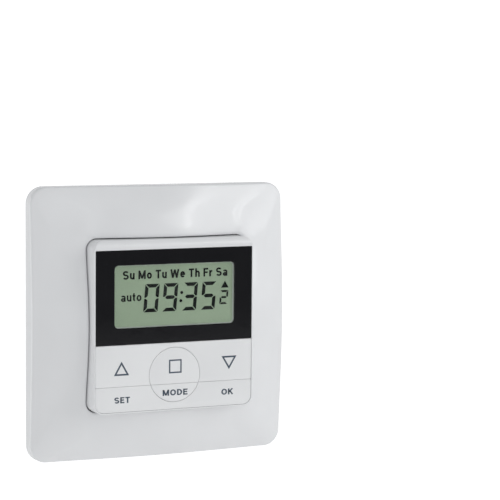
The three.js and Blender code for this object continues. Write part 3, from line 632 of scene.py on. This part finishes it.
def letter_strokes(weight):
    """Each letter's width and the middle lines of its strokes, in capitals' heights."""
    e = weight / 2
    low = 0.73
    stem = [(e, 0), (e, 1)]
    return {
        "S": (0.68, [bow(0.34, 0.75 - e / 2, 0.34 - e, 0.25 - e / 2, 25, 270)
                     + bow(0.34, 0.25 + e / 2, 0.34 - e, 0.25 - e / 2, 90, -155)[1:]]),
        "M": (0.84, [stem, [(0.84 - e, 0), (0.84 - e, 1)], [(e, 0.97), (0.42, 0.08)],
                     [(0.42, 0.08), (0.84 - e, 0.97)]]),
        "T": (0.62, [[(0, 1 - e), (0.62, 1 - e)], [(0.31, 1 - e), (0.31, 0)]]),
        "W": (1.0, [[(e * 0.8, 1), (0.27, 0)], [(0.27, 0), (0.5, 0.96)], [(0.5, 0.96), (0.73, 0)],
                    [(0.73, 0), (1 - e * 0.8, 1)]]),
        "F": (0.55, [stem, [(e, 1 - e), (0.55, 1 - e)], [(e, 0.5), (0.5, 0.5)]]),
        "E": (0.58, [stem, [(e, 1 - e), (0.58, 1 - e)], [(e, 0.52), (0.53, 0.52)],
                     [(e, e), (0.58, e)]]),
        "D": (0.68, [[(e, e), (0.28, e)] + bow(0.28, 0.5, 0.4 - e, 0.5 - e, -90, 90) + [(e, 1 - e), (e, e / 2)]]),
        "K": (0.68, [stem, [(0.6, 1), (e, 0.4)], [(0.27, 0.58), (0.62, 0)]]),
        "O": (0.78, [bow(0.39, 0.5, 0.39 - e, 0.5 - e, 0, 360, 29)]),
        "o": (0.58, [bow(0.29, low / 2, 0.29 - e, low / 2 - e, 0, 360, 25)]),
        "e": (0.57, [[(e, 0.38)] + bow(0.285, low / 2, 0.285 - e, low / 2 - e, 3, 318, 25)]),
        "a": (0.55, [bow(0.27, 0.5, 0.27 - e, low - 0.5 - e, 160, 0) + [(0.54 - e, 0)],
                     bow(0.25, 0.21, 0.25 - e, 0.21 - e * 0.8, 0, 360, 21)]),
        "u": (0.54, [[(e, low), (e, 0.3)] + bow(0.27, 0.28, 0.27 - e, 0.28 - e, 180, 360) + [(0.54 - e, 0.3)],
                     [(0.54 - e, low), (0.54 - e, 0)]]),
        "h": (0.54, [stem, [(e, 0.4)] + bow(0.27, 0.44, 0.27 - e, low - 0.44 - e, 180, 0)
                     + [(0.54 - e, 0)]]),
        "r": (0.37, [[(e, 0), (e, low)], bow(0.34, 0.36, 0.34 - e, low - 0.36 - e, 170, 84)]),
        "L": (0.54, [[(e, 1), (e, e), (0.54, e)]]),
        "N": (0.7, [stem, [(0.7 - e, 0), (0.7 - e, 1)], [(e, 0.97), (0.7 - e, 0.03)]]),
        "t": (0.34, [[(0.16, 0.95), (0.16, 0.2)] + bow(0.3, 0.2, 0.14, 0.2 - e, 180, 265, 7),
                     [(0, low - e), (0.33, low - e)]]),
    }


def ribbon(middle, weight):
    """The outline of a stroke: its middle line moved half the weight to either side, with squared ends. A corner
    is mitred, and a sharp one is kept short."""
    middle = np.asarray(middle, float)
    ahead = np.diff(middle, axis=0)
    ahead = ahead / np.linalg.norm(ahead, axis=1)[:, None]
    side = np.stack([-ahead[:, 1], ahead[:, 0]], axis=1)
    first, last = np.vstack([side[:1], side]), np.vstack([side, side[-1:]])
    mitre = (first + last) / np.maximum(1 + np.sum(first * last, axis=1), 0.7)[:, None] * weight / 2
    return np.concatenate([middle - mitre, (middle + mitre)[::-1]])


LETTER_GAP = 0.13
WORD_GAP = 0.3


def lettering(name, words, left, right, foot, cap_height, weight, back, front, material, slot, body="root"):
    """Words between left and right, as flat raised strokes. The weight is in capitals' heights."""
    glyphs = letter_strokes(weight)
    outlines, run = [], 0.0
    for letter in words:
        if letter == " ":
            run += WORD_GAP
            continue
        width, strokes = glyphs[letter]
        outlines += [ribbon(stroke, weight) + (run, 0) for stroke in strokes]
        run += width + LETTER_GAP
    scale = ((right - left) / (run - LETTER_GAP), cap_height)
    parts = [prism(outline * scale + (left, foot), back, front) for outline in outlines]
    return make_piece(name, *gather(parts), material, slot, body)


LABEL_FRONT = HOUSE_REAR + 0.02
LABEL_REAR = HOUSE_REAR - 0.05
PRINT_REAR = HOUSE_REAR - 0.08
MARK_UP, MARK_HEIGHT = -9.3, 1.9
LETTER_HALF, ARROW_HALF = 0.75, 0.95
LABEL = (0, 5.5, 14.5, 9.5, 0.8)
WIRE_WEIGHT = 0.4
make_piece("wiring_label", *prism(centred(*LABEL), LABEL_REAR, LABEL_FRONT),
    moulded("label_paper", (0.72, 0.73, 0.72), 0.6, 0.03, 6), "light_grey_plastic")


def contact(x, up, tip):
    """The middle lines of a switch contact in a diagram: two leads, and an arm that leans from the lower one."""
    return [[(x, up - 4), (x, up - 1.4)], [(x, up - 1.4), (x + tip, up + 1.5)], [(x, up + 1.6), (x, up + 4)]]


wiring = [line for side in (-1, 1) for line in contact(side * 4.5, 5.0, -side * 1.6)]
wiring += [[(-9.5, 9.2), (9.5, 9.2)], [(-9.5, 1.0), (-9.5, 9.2)], [(-4.5, 1.0), (4.5, 1.0)]]
wiring += [[(0, -1.5), (0, 1.0)], [(9.5, -1.5), (9.5, 9.2)], [(-12.8, 12.6), (12.8, 12.6)]]
wires = [prism(ribbon(line, WIRE_WEIGHT), PRINT_REAR, LABEL_REAR) for line in wiring]
make_piece("wiring_picture", *gather(wires),
    moulded("print_black", (0.02, 0.02, 0.024), 0.5, 0.1, 2, ripple=0), "black_plastic")
print_white = moulded("print_white", (0.75, 0.76, 0.77), 0.5, 0.05, 2, ripple=0)
for number, mark in enumerate(("N", "L", "L", (0, 1), (1, 0))):
    name, middle = f"mark_{number + 1}", -poles[number]
    if mark in ("N", "L"):
        lettering(name, mark, middle + LETTER_HALF, middle - LETTER_HALF, MARK_UP, MARK_HEIGHT, 0.19, PRINT_REAR,
            LABEL_FRONT, print_white, "light_grey_plastic")
        continue
    foot, tip = (MARK_UP + share * MARK_HEIGHT for share in mark)
    arrow = [(middle - ARROW_HALF, foot), (middle + ARROW_HALF, foot), (middle, tip)]
    make_piece(name, *prism(arrow, PRINT_REAR, LABEL_FRONT), print_white, "light_grey_plastic")


# ---------------------------------------------------------------- cover frame
# One glossy white moulding. Its crown rises in a curve from the rounded outer edge to the opening, and stands
# higher at the middle of each side than at the corners. The control module clamps its inner lip to the plate.

FRAME_HALF = in_view("cover_frame")[1]
FRAME_CORNER = 5.0
CROWN_TOP = in_view("cover_frame")[5]
CROWN_RISE = 2.4
CROWN_LOW = CROWN_TOP - CROWN_RISE
OPENING_HALF = 25.25
OPENING_CORNER = 3.2
CORNER_SWELL = 5.0
EDGE_START = 3.0
EDGE_LIFT = 1.8
EDGE_RADIUS = 1.15
EDGE_TURN = math.radians(55)
INNER_EDGE = 0.5
LIP_HALF = 23.6
LIP_BACK, LIP_FRONT = 1.6, 2.8
FRAME_WALL = 2.0


def frame_section():
    """The section from the foot over the crown and back under it, as rows of half width, corner radius, height,
    share and lift. A point stands at its height, plus its share of the crown's own height at that place, plus its
    part of the outer edge's lift there. Half way up the crown the corners are rounder by CORNER_SWELL."""
    turn = np.linspace(0, EDGE_TURN, 9)
    edge_half = FRAME_HALF - EDGE_RADIUS * (1 - np.cos(turn))
    edge_height = EDGE_START + EDGE_RADIUS * np.sin(turn)
    edge_corner = FRAME_CORNER - (FRAME_HALF - edge_half) * 0.6
    edge = np.stack([edge_half, edge_corner, edge_height, 0 * turn, 1 + 0 * turn], axis=1)
    run = np.linspace(0, 1, 33)[1:]
    share = 0.55 * np.sin(run * np.pi / 2) + 0.45 * run
    ends = np.array([edge[-1, :2], [OPENING_HALF + INNER_EDGE, OPENING_CORNER + 0.3]])
    half, corner = (ends[0][:, None] + (ends[1] - ends[0])[:, None] * run)
    corner = corner + CORNER_SWELL * np.sin(np.pi * run) ** 2
    crown = np.stack([half, corner, edge_height[-1] * (1 - share), share, 1 - share], axis=1)
    bend = np.linspace(0, np.pi / 2, 7)[1:]
    lip = np.stack([
        OPENING_HALF + INNER_EDGE * (1 - np.sin(bend)),
        OPENING_CORNER + 0.3 * (1 - np.sin(bend)),
        -INNER_EDGE * (1 - np.cos(bend)),
        1 + 0 * bend,
        0 * bend,
    ], axis=1)
    inside = OPENING_HALF + FRAME_WALL
    under = np.array([
        [OPENING_HALF, OPENING_CORNER, LIP_FRONT, 0, 0],
        [LIP_HALF, OPENING_CORNER - 1, LIP_FRONT, 0, 0],
        [LIP_HALF, OPENING_CORNER - 1, LIP_BACK, 0, 0],
        [inside, OPENING_CORNER + FRAME_WALL, LIP_BACK, 0, 0],
        [inside, OPENING_CORNER + FRAME_WALL, -3, 1, 0],
        [FRAME_HALF - FRAME_WALL - 0.6, FRAME_CORNER - 1.6, 2.8, 0, 0],
        [FRAME_HALF - FRAME_WALL, FRAME_CORNER - 1.4, 0.15, 0, 0],
        [FRAME_HALF - FRAME_WALL + 0.15, FRAME_CORNER - 1.3, 0, 0, 0],
        [FRAME_HALF - 0.15, FRAME_CORNER, 0, 0, 0],
        [FRAME_HALF, FRAME_CORNER, 0.15, 0, 0],
    ])
    return np.concatenate([edge, crown, lip, under])


def carry_round(section, side_steps=48, corner_steps=14):
    """The section carried round a rounded square. A station lies on a side or a corner arc, and along runs from
    -1 to 1 over a side. The crown is CROWN_LOW plus CROWN_RISE times the swell there, and the edge is lifted by
    EDGE_LIFT times it: one minus the square of along, to the power of one and a half."""
    along = np.concatenate([np.linspace(-1, 1, side_steps, endpoint=False), np.ones(corner_steps)])
    turn = np.concatenate([np.zeros(side_steps), np.linspace(0, np.pi / 2, corner_steps, endpoint=False)])
    half, corner, height, share, lift = section.T
    straight = half - corner
    x = straight + corner * np.cos(turn)[:, None]
    y = along[:, None] * straight + corner * np.sin(turn)[:, None]
    swell = ((1 - along**2) ** 1.5)[:, None]
    out = height + share * (CROWN_LOW + CROWN_RISE * swell) + lift * EDGE_LIFT * swell
    quarters = [on_wall(x * c - y * s, x * s + y * c, out) for c, s in ((1, 0), (0, 1), (-1, 0), (0, -1))]
    return np.concatenate(quarters)


def closed_section(name, rings, material, slot, body="root", sharp=40):
    """A piece whose rings of equal length are joined in order, and the last one to the first."""
    points = np.stack(rings)
    return make_piece(name, points, grid_faces(*points.shape[:2], wrap_rows=True), material, slot, body, sharp)


gloss_white = moulded("gloss_white", (0.865, 0.87, 0.88), 0.2, 0.012, 0.6,
    {"Coat Weight": 0.5, "Coat Roughness": 0.1})
frame_skin = closed_section("frame_moulding", carry_round(frame_section()), gloss_white, "white_plastic")
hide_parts("cover_frame")


# ---------------------------------------------------------------- control module, inner pieces
# The rear cover is the same white plastic. Six tactile switches with black plungers stand on the board, in front
# of the processor and its memory capacitor, and a tray and a rubber connector hold the display to it.

dress(gloss_white, "control_rear_cover")
dress(plated("tinned_switch", (0.6, 0.6, 0.6), 0.36), *[name for name in nodes if name.startswith("switch_")])
dress(black_plastic, *[name for name in nodes if name.startswith("plunger_")])
dress(moulded("tray_plastic", (0.5, 0.52, 0.5), 0.5, 0.03, 4), "lcd_holder")
dress(moulded("black_rubber", (0.02, 0.02, 0.02), 0.75, 0.1, 8), "contact_strip")


# ---------------------------------------------------------------- display
# A reflective liquid crystal panel: two sheets of glass, the rear one shorter than the front one to bare the
# contacts, with grey-green film behind. Its dark symbols lie in the front sheet, under a clear window.

LCD_LEFT, LCD_RIGHT, LCD_BOTTOM, LCD_TOP, LCD_BACK, LCD_FRONT = in_view("lcd_panel")
LCD_MIDDLE = (LCD_BACK + LCD_FRONT) / 2
LCD_LEDGE = 2.1


def film_group():
    """Grey-green reflector film: a fine metallic speckle on a colour that darkens a little towards the top, which
    is painted shade.
    """
    start = {"Colour": (0.3, 0.37, 0.27, 1), "Speckle": 0.08}
    tree, given, result = start_group("reflector_film", start, COLOUR_ROUGHNESS_HEIGHT)
    speckle = times(tree, spread(tree, noise(tree, 9000, 1), -1, 1), given["Speckle"])
    own = add_node(tree, "ShaderNodeTexCoord").outputs["Object"]
    place = add_node(tree, "ShaderNodeSeparateXYZ", {}, {0: own})
    # Painted shade: the film's colour darkens a little towards the top.
    fall = spread(tree, place.outputs["Z"], 0.04, -0.03, LCD_BOTTOM * MM, LCD_TOP * MM)
    shade = plus(tree, 1, plus(tree, speckle, fall))
    return deliver(tree, result, tint(tree, given["Colour"], shade),
        spread(tree, noise(tree, 5000, 1), 0.3, 0.5), times(tree, noise(tree, 9000, 1), 1.5e-6))


lcd_film = finish_with("lcd_film", film_group(), {"Colour": (0.5, 0.64, 0.45, 1), "Speckle": 0.09})
lcd_sheets = [prism(rounded_outline(LCD_LEFT, LCD_RIGHT, low, LCD_TOP, 0.2, 0.2, 3), back, front)
              for low, back, front in ((LCD_BOTTOM, LCD_MIDDLE, LCD_FRONT),
                                       (LCD_BOTTOM + LCD_LEDGE, LCD_BACK, LCD_MIDDLE))]
lcd_glass = make_piece("lcd_glass", *gather(lcd_sheets), lcd_film, "lcd_glass")
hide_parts("lcd_panel")

SIGHT_LEFT, SIGHT_RIGHT, SIGHT_BOTTOM, SIGHT_TOP = -18.75, 18.9, -0.3, 17.8
SIGHT_CORNER = 1.25
# A thin pale grey ring on the display glass round the window's sight is a painted highlight, standing in for
# light caught at the window's edge.
SIGHT_HIGHLIGHT_WIDTH = 0.3
SIGHT_HIGHLIGHT_BACK, SIGHT_HIGHLIGHT_FRONT = LCD_FRONT + 0.01, LCD_FRONT + 0.06


def sight(grow=0.0):
    """The outline of the window, larger by grow on every side."""
    radius = SIGHT_CORNER + grow
    return rounded_outline(SIGHT_LEFT - grow, SIGHT_RIGHT + grow, SIGHT_BOTTOM - grow, SIGHT_TOP + grow,
        radius, radius)


# Painted highlight: the pale grey ring round the window's sight, laid on the front of the display glass.
closed_section("lcd_edge_highlight", rings_at([(sight(SIGHT_HIGHLIGHT_WIDTH), SIGHT_HIGHLIGHT_BACK), (sight(SIGHT_HIGHLIGHT_WIDTH), SIGHT_HIGHLIGHT_FRONT),
    (sight(-SIGHT_HIGHLIGHT_WIDTH), SIGHT_HIGHLIGHT_FRONT), (sight(-SIGHT_HIGHLIGHT_WIDTH), SIGHT_HIGHLIGHT_BACK)]),
    moulded("painted_highlight_grey", (0.7, 0.76, 0.69), 0.4, 0.03, 2), "light_grey_plastic")

INK_BACK = LCD_FRONT + 0.005
INK_FRONT = LCD_FRONT + 0.03
DIGIT_SEGMENTS = {"0": "abcdef", "9": "abcdfg", "3": "abcdg", "5": "acdfg", "2": "abdeg"}


def segments(left, bottom, width, height, thick, gap, lean, lit):
    """The lit bars of a seven-segment digit: four-sided along the outline, six-sided across the middle. Each
    leans to the right by lean times its height over the digit's foot."""
    w, h, t, g, mid = width, height, thick, gap, height / 2
    upper = [(0, h - g), (0, mid + g), (t / 2, mid + g), (t, mid + t / 2 + g), (t, h - t - g)]
    mirrored = [(w - x, up) for x, up in upper]
    bars = {
        "a": [(g, h), (g + t, h - t), (w - g - t, h - t), (w - g, h)],
        "b": mirrored,
        "c": [(x, h - up) for x, up in mirrored],
        "d": [(g, 0), (g + t, t), (w - g - t, t), (w - g, 0)],
        "e": [(x, h - up) for x, up in upper],
        "f": upper,
        "g": [(g + t / 2, mid), (g + t, mid - t / 2), (w - g - t, mid - t / 2), (w - g - t / 2, mid),
              (w - g - t, mid + t / 2), (g + t, mid + t / 2)],
    }
    return [[(left + x + lean * up, bottom + up) for x, up in bars[bar]] for bar in lit]


DIGIT_LEAN = 0.086
CLOCK_FOOT = 3.95
CLOCK_DIGIT = (4.48, 8.15, 1.04, 0.17, DIGIT_LEAN)
SMALL_DIGIT = (2.6, 4.1, 0.58, 0.1, DIGIT_LEAN)
COLON_RADIUS = 0.47
LCD_PRINT = (INK_BACK, INK_FRONT, moulded("lcd_ink", (0.003, 0.008, 0.0055), 0.5, 0.15, 1,
    {"Specular IOR Level": 0.1}, ripple=0), "black_panel")
symbols = [bar for left, digit in zip((-9.63, -3.79, 2.46, 8.39), "0935")
           for bar in segments(left, CLOCK_FOOT, *CLOCK_DIGIT, DIGIT_SEGMENTS[digit])]
symbols += segments(14.4, 5.3, *SMALL_DIGIT, DIGIT_SEGMENTS["2"])
symbols += [dot(2.44, 9.25, COLON_RADIUS), dot(2.17, 6.87, COLON_RADIUS)]
symbols += [[(15.0, 10.15), (17.4, 10.15), (16.2, 12.15)]]
make_piece("lcd_symbols", *gather([prism(outline, INK_BACK, INK_FRONT) for outline in symbols]), *LCD_PRINT[2:])
lettering("lcd_weekdays", "Su Mo Tu We Th Fr Sa", -15.95, 17.0, 13.62, 2.5, 0.2, *LCD_PRINT)
lettering("lcd_auto", "auto", -16.5, -10.15, 7.3, 2.45, 0.18, *LCD_PRINT)


# ---------------------------------------------------------------- window
# The clear window is let into a glossy black panel, which is snapped into the front of the bezel. Both are
# injection moulded and polished, and the window's edge is eased.

def drawn_in(outline, inset):
    """A closed anticlockwise outline with every side moved inwards by inset: each corner goes along its mitre,
    the sum of its two sides' normals over one plus their dot product."""
    ahead = np.roll(outline, -1, axis=0) - outline
    normal = np.stack([ahead[:, 1], -ahead[:, 0]], axis=1) / np.linalg.norm(ahead, axis=1)[:, None]
    before = np.roll(normal, 1, axis=0)
    return outline - (normal + before) / (1 + np.sum(normal * before, axis=1))[:, None] * inset


def eased_slab(name, outline, back, front, ease, material, slot, body="root"):
    """A flat piece of that outline whose front edge is rounded, closed by a flat face at either end."""
    rings = [(0, back), *[(inset, front - drop) for inset, drop in eased(ease, 5)]]
    points, faces = stack_rings(rings_at([(drawn_in(outline, inset), out) for inset, out in rings]))
    return make_piece(name, points, faces, material, slot, body)


LENS_BACK, LENS_FRONT = in_view("display_lens")[4:]
clear_window = moulded("clear_window", (0.97, 0.98, 0.975), 0.004, 0.01, 0.1,
    {"Transmission Weight": 1.0, "IOR": 1.3}, ripple=0.1, dust=0.08)
lens = eased_slab("window_lens", sight(-0.04), LENS_BACK, LENS_FRONT, 0.12, clear_window, "clear_lens")
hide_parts("display_lens")

PANEL_LEFT, PANEL_RIGHT, PANEL_LOW, PANEL_HIGH, PANEL_BACK, PANEL_FRONT = in_view("display_surround")
PANEL_EASE = 0.12


def panel_outline(inset):
    """The black panel's outer outline, smaller by inset."""
    return rounded_outline(PANEL_LEFT + inset, PANEL_RIGHT - inset, PANEL_LOW + inset, PANEL_HIGH - inset,
        0.3, 0.3)


panel_rings = [(0, PANEL_BACK), *[(inset, PANEL_FRONT - drop) for inset, drop in eased(PANEL_EASE, 5)],
               (PANEL_EASE * 2, PANEL_FRONT)]
panel_skin = closed_section("black_window_panel",
    rings_at([(panel_outline(inset), out) for inset, out in panel_rings]
             + [(sight(inset), out) for inset, out in panel_rings[::-1]]),
    moulded("gloss_black", (0.007, 0.007, 0.0085), 0.07, 0.1, 0.3, {"Specular IOR Level": 0.3}), "black_panel",
    sharp=50)
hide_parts("display_surround")


# ---------------------------------------------------------------- bezel
# The module's white shell. A thin rim runs round its front, and over the display a wider brow rolls back to the
# top edge. The front is let in for the black panel and for the keys, which rest on a pierced deck.

MODULE_HALF = in_view("bezel")[1]
MODULE_CORNER = 3.0
MODULE_BACK, FACE = in_view("bezel")[4:]
RIM, RIM_EDGE, LIP_EDGE = 0.4, 0.22, 0.06
PANEL_TOP, PANEL_BOTTOM = 22.2, -5.1
BROW_DROP, BROW_START = 1.3, PANEL_TOP + 0.2
KEY_FLOOR, DECK_BACK = 13.8, 12.4
CAVITY_HALF = MODULE_HALF - 1.6
DECK_HALF, DECK_FOOT, DECK_TOP = 22.4, -23.2, -5.4
HOLE_TOP = 20.9


def brow(up):
    """How far the front has rolled back at a height: nothing below the display's top, then a parabola."""
    return BROW_DROP * np.clip((up - BROW_START) / (MODULE_HALF - BROW_START), 0, 1) ** 2


def bezel_shell():
    """Rings of one closed section: the outer wall, its rounded edge, the rim and brow, the let-in wall, the ledge
    round the opening, and back along the inner wall."""
    def ring(inset, corner, out, rolled=True):
        """The shell's outline, smaller by inset, at that height, rolled back by the brow or not."""
        half = MODULE_HALF - inset
        outline = rounded_outline(-half, half, -half, half, corner, corner)
        return on_wall(*outline.T, out - brow(outline[:, 1]) * rolled)

    edge = [ring(inset, MODULE_CORNER - inset, FACE - drop) for inset, drop in eased(RIM_EDGE, 7)]
    well = MODULE_HALF - RIM
    wide = well + LIP_EDGE
    mouth = rounded_outline(-well, well, -well, PANEL_TOP, MODULE_CORNER - RIM, 0.25)
    lip = rounded_outline(-wide, wide, -wide, PANEL_TOP + LIP_EDGE, MODULE_CORNER - RIM + LIP_EDGE, 0.3)
    last = edge[-1]
    first = on_wall(*lip.T, FACE - brow(lip[:, 1]))
    face = []
    for share in np.linspace(0, 1, 10)[1:]:
        between = last * (1 - share) + first * share
        between[:, 1] = -(FACE - brow(between[:, 2] / MM)) * MM
        face.append(between)
    hole = rounded_outline(-DECK_HALF, DECK_HALF, DECK_FOOT, HOLE_TOP, 1.5, 0.5)
    cavity = rounded_outline(-CAVITY_HALF, CAVITY_HALF, -CAVITY_HALF, CAVITY_HALF, 1.8, 1.8)
    inner = rings_at([(mouth, FACE - LIP_EDGE), (mouth, KEY_FLOOR), (hole, KEY_FLOOR), (hole, DECK_BACK),
                      (cavity, DECK_BACK), (cavity, MODULE_BACK)])
    return [ring(0, MODULE_CORNER, MODULE_BACK, False), *edge, *face, *inner]


bezel_skin = closed_section("bezel_shell", bezel_shell(), gloss_white, "white_plastic")
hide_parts("bezel")


def pierced_deck(name, across, upward, holes, back, front, material, slot):
    """A flat deck on a grid of lines. Cells listed in holes are left open, and their sides are walled."""
    columns, rows = len(across), len(upward)
    x, up = np.meshgrid(across, upward)
    points = np.concatenate([on_wall(x.ravel(), up.ravel(), back), on_wall(x.ravel(), up.ravel(), front)])
    layer = columns * rows
    filled = {(r, c) for r in range(rows - 1) for c in range(columns - 1)} - set(holes)
    faces = []
    for r, c in sorted(filled):
        corners = [r * columns + c, r * columns + c + 1, (r + 1) * columns + c + 1, (r + 1) * columns + c]
        faces.append(corners[::-1])
        faces.append([corner + layer for corner in corners])
        for side, (dr, dc) in enumerate(((-1, 0), (0, 1), (1, 0), (0, -1))):
            if (r + dr, c + dc) not in filled:
                a, b = corners[side], corners[(side + 1) % 4]
                faces.append([a, b, b + layer, a + layer])
    return make_piece(name, points, faces, material, slot)


KEY_COLUMNS = (-16.6, 0.0, 16.6)
KEY_ROWS = (-19.6, -12.0)
KEY_HOLE_HALVES = (4.1, 2.4)
deck_across, deck_upward = (
    [first, *[middle + side * half for middle in middles for side in (-1, 1)], last]
    for first, middles, half, last in ((-DECK_HALF, KEY_COLUMNS, KEY_HOLE_HALVES[0], DECK_HALF),
                                       (DECK_FOOT, KEY_ROWS, KEY_HOLE_HALVES[1], DECK_TOP)))
pierced_deck("bezel_key_deck", deck_across, deck_upward, [(r, c) for r in (1, 3) for c in (1, 3, 5)],
    DECK_BACK, KEY_FLOOR, gloss_white, "white_plastic")


# ---------------------------------------------------------------- keys
# Two rocker bars and a round key in two halves, moulded in white with a finer gloss than the shell. Each key has
# a post over its switch and two hooked legs that hold it to the deck. The legends are pad printed in slate blue.

KEY_BACK = 14.4
KEY_FRONT = in_view("rocker_up_down")[5]
KEY_EASE = 0.13
KEY_HALF = MODULE_HALF - RIM - 0.07
KEY_FOOT = 0.04 + RIM - MODULE_HALF
ROW_SEAM = -17.2
KEY_GAP = 0.03
DIAL_UP = -14.5
DIAL_RADIUS = 7.95
NOTCH_RADIUS = DIAL_RADIUS + 0.1
POST_BACK, POST_RADIUS = 12.95, 1.6
HOOK_BACK, HOOK_FRONT = 10.7, 11.7
LEG_IN, LEG_OUT, HOOK_OUT, LEG_HALF = 3.2, 3.9, 4.6, 1.2


def dial_arc(radius, start, end, steps):
    """Points along a circle about the dial's middle, between two angles in degrees."""
    return np.array(bow(0, DIAL_UP, radius, radius, start, end, steps))


def rocker_outline(low, high, corner, above):
    """A bar with its lower corners rounded, or both, and a bite of the dial's circle out of its seam side."""
    edge = low if above else high
    dip = math.degrees(math.asin((edge - DIAL_UP) / NOTCH_RADIUS))
    bars = rounded_outline(-KEY_HALF, KEY_HALF, low, high, corner, 0.3, 6)
    if above:
        return np.concatenate([bars, dial_arc(NOTCH_RADIUS, 180 - dip, dip, 49)])
    bite = dial_arc(NOTCH_RADIUS, dip, -180 - dip, 49)
    half = len(bars) // 2
    return np.concatenate([bars[:half], bite, bars[half:]])


def dial_outline(edge, above):
    """The part of the dial's disc on one side of the row seam."""
    dip = math.degrees(math.asin((edge - DIAL_UP) / DIAL_RADIUS))
    if above:
        return dial_arc(DIAL_RADIUS, dip, 180 - dip, 65)
    return dial_arc(DIAL_RADIUS, 180 - dip, 360 + dip, 41)


satin_white = moulded("satin_white", (0.885, 0.89, 0.895), 0.3, 0.012, 1.2, dust=0.4)


def key_posts(name, middles, body):
    """The post and the two hooked legs behind each key face."""
    parts = []
    for x, up in middles:
        parts.append(prism(dot(x, up, POST_RADIUS, 24), POST_BACK, KEY_BACK))
        for side in (-1, 1):
            for near, far, front in ((LEG_IN, LEG_OUT, KEY_BACK), (LEG_OUT, HOOK_OUT, HOOK_FRONT)):
                ends = sorted((x + side * near, x + side * far))
                outline = rounded_outline(*ends, up - LEG_HALF, up + LEG_HALF, 0.15, 0.15, 3)
                parts.append(prism(outline, HOOK_BACK, front))
    return make_piece(name, *gather(parts), satin_white, "key_plastic", body)


lower_row, upper_row = KEY_ROWS
left_key, middle_key, right_key = KEY_COLUMNS
for body, outline, middles in (
    ("rocker_up_down", rocker_outline(ROW_SEAM + KEY_GAP, PANEL_BOTTOM - 0.06, 0.3, True),
     [(left_key, upper_row), (right_key, upper_row)]),
    ("rocker_set_ok", rocker_outline(KEY_FOOT, ROW_SEAM - KEY_GAP, MODULE_CORNER - RIM - 0.05, False),
     [(left_key, lower_row), (right_key, lower_row)]),
    ("key_stop", dial_outline(ROW_SEAM + KEY_GAP, True), [(middle_key, upper_row)]),
    ("key_mode", dial_outline(ROW_SEAM - KEY_GAP, False), [(middle_key, lower_row)]),
):
    face = eased_slab(body + "_face", outline, KEY_BACK, KEY_FRONT, KEY_EASE, satin_white, "key_plastic", body)
    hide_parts(body)
    key_posts(body + "_posts", middles, body)

LEGEND_BACK, LEGEND_FRONT = KEY_FRONT + 0.004, KEY_FRONT + 0.025
LEGEND_PRINT = (moulded("slate_ink", (0.07, 0.095, 0.13), 0.45, 0.1, 3, ripple=0), "black_panel")


def printed_outline(name, corners, line, body):
    """A closed line of that width, drawn inwards from its outer corners, pad printed on a key."""
    outer = np.asarray(corners, float)
    inner = drawn_in(outer, line)
    closed_section(name, rings_at([(outer, LEGEND_BACK), (outer, LEGEND_FRONT), (inner, LEGEND_FRONT),
                                   (inner, LEGEND_BACK)]), *LEGEND_PRINT, body)


printed_outline("legend_up", [(-18.95, -13.9), (-14.25, -13.9), (-16.6, -9.85)], 0.48, "rocker_up_down")
printed_outline("legend_down", [(14.95, -9.95), (17.35, -13.9), (19.75, -9.95)], 0.48, "rocker_up_down")
printed_outline("legend_stop", [(-1.8, -14.1), (2.2, -14.1), (2.2, -10.1), (-1.8, -10.1)], 0.42, "key_stop")
for words, left, right, foot, body in (
    ("SET", -18.8, -14.0, -21.9, "rocker_set_ok"),
    ("MODE", -3.75, 4.1, -20.6, "key_mode"),
    ("OK", 14.96, 18.7, -21.4, "rocker_set_ok"),
):
    lettering("legend_" + words.lower(), words, left, right, foot, 1.75, 0.2, LEGEND_BACK, LEGEND_FRONT,
        *LEGEND_PRINT, body)
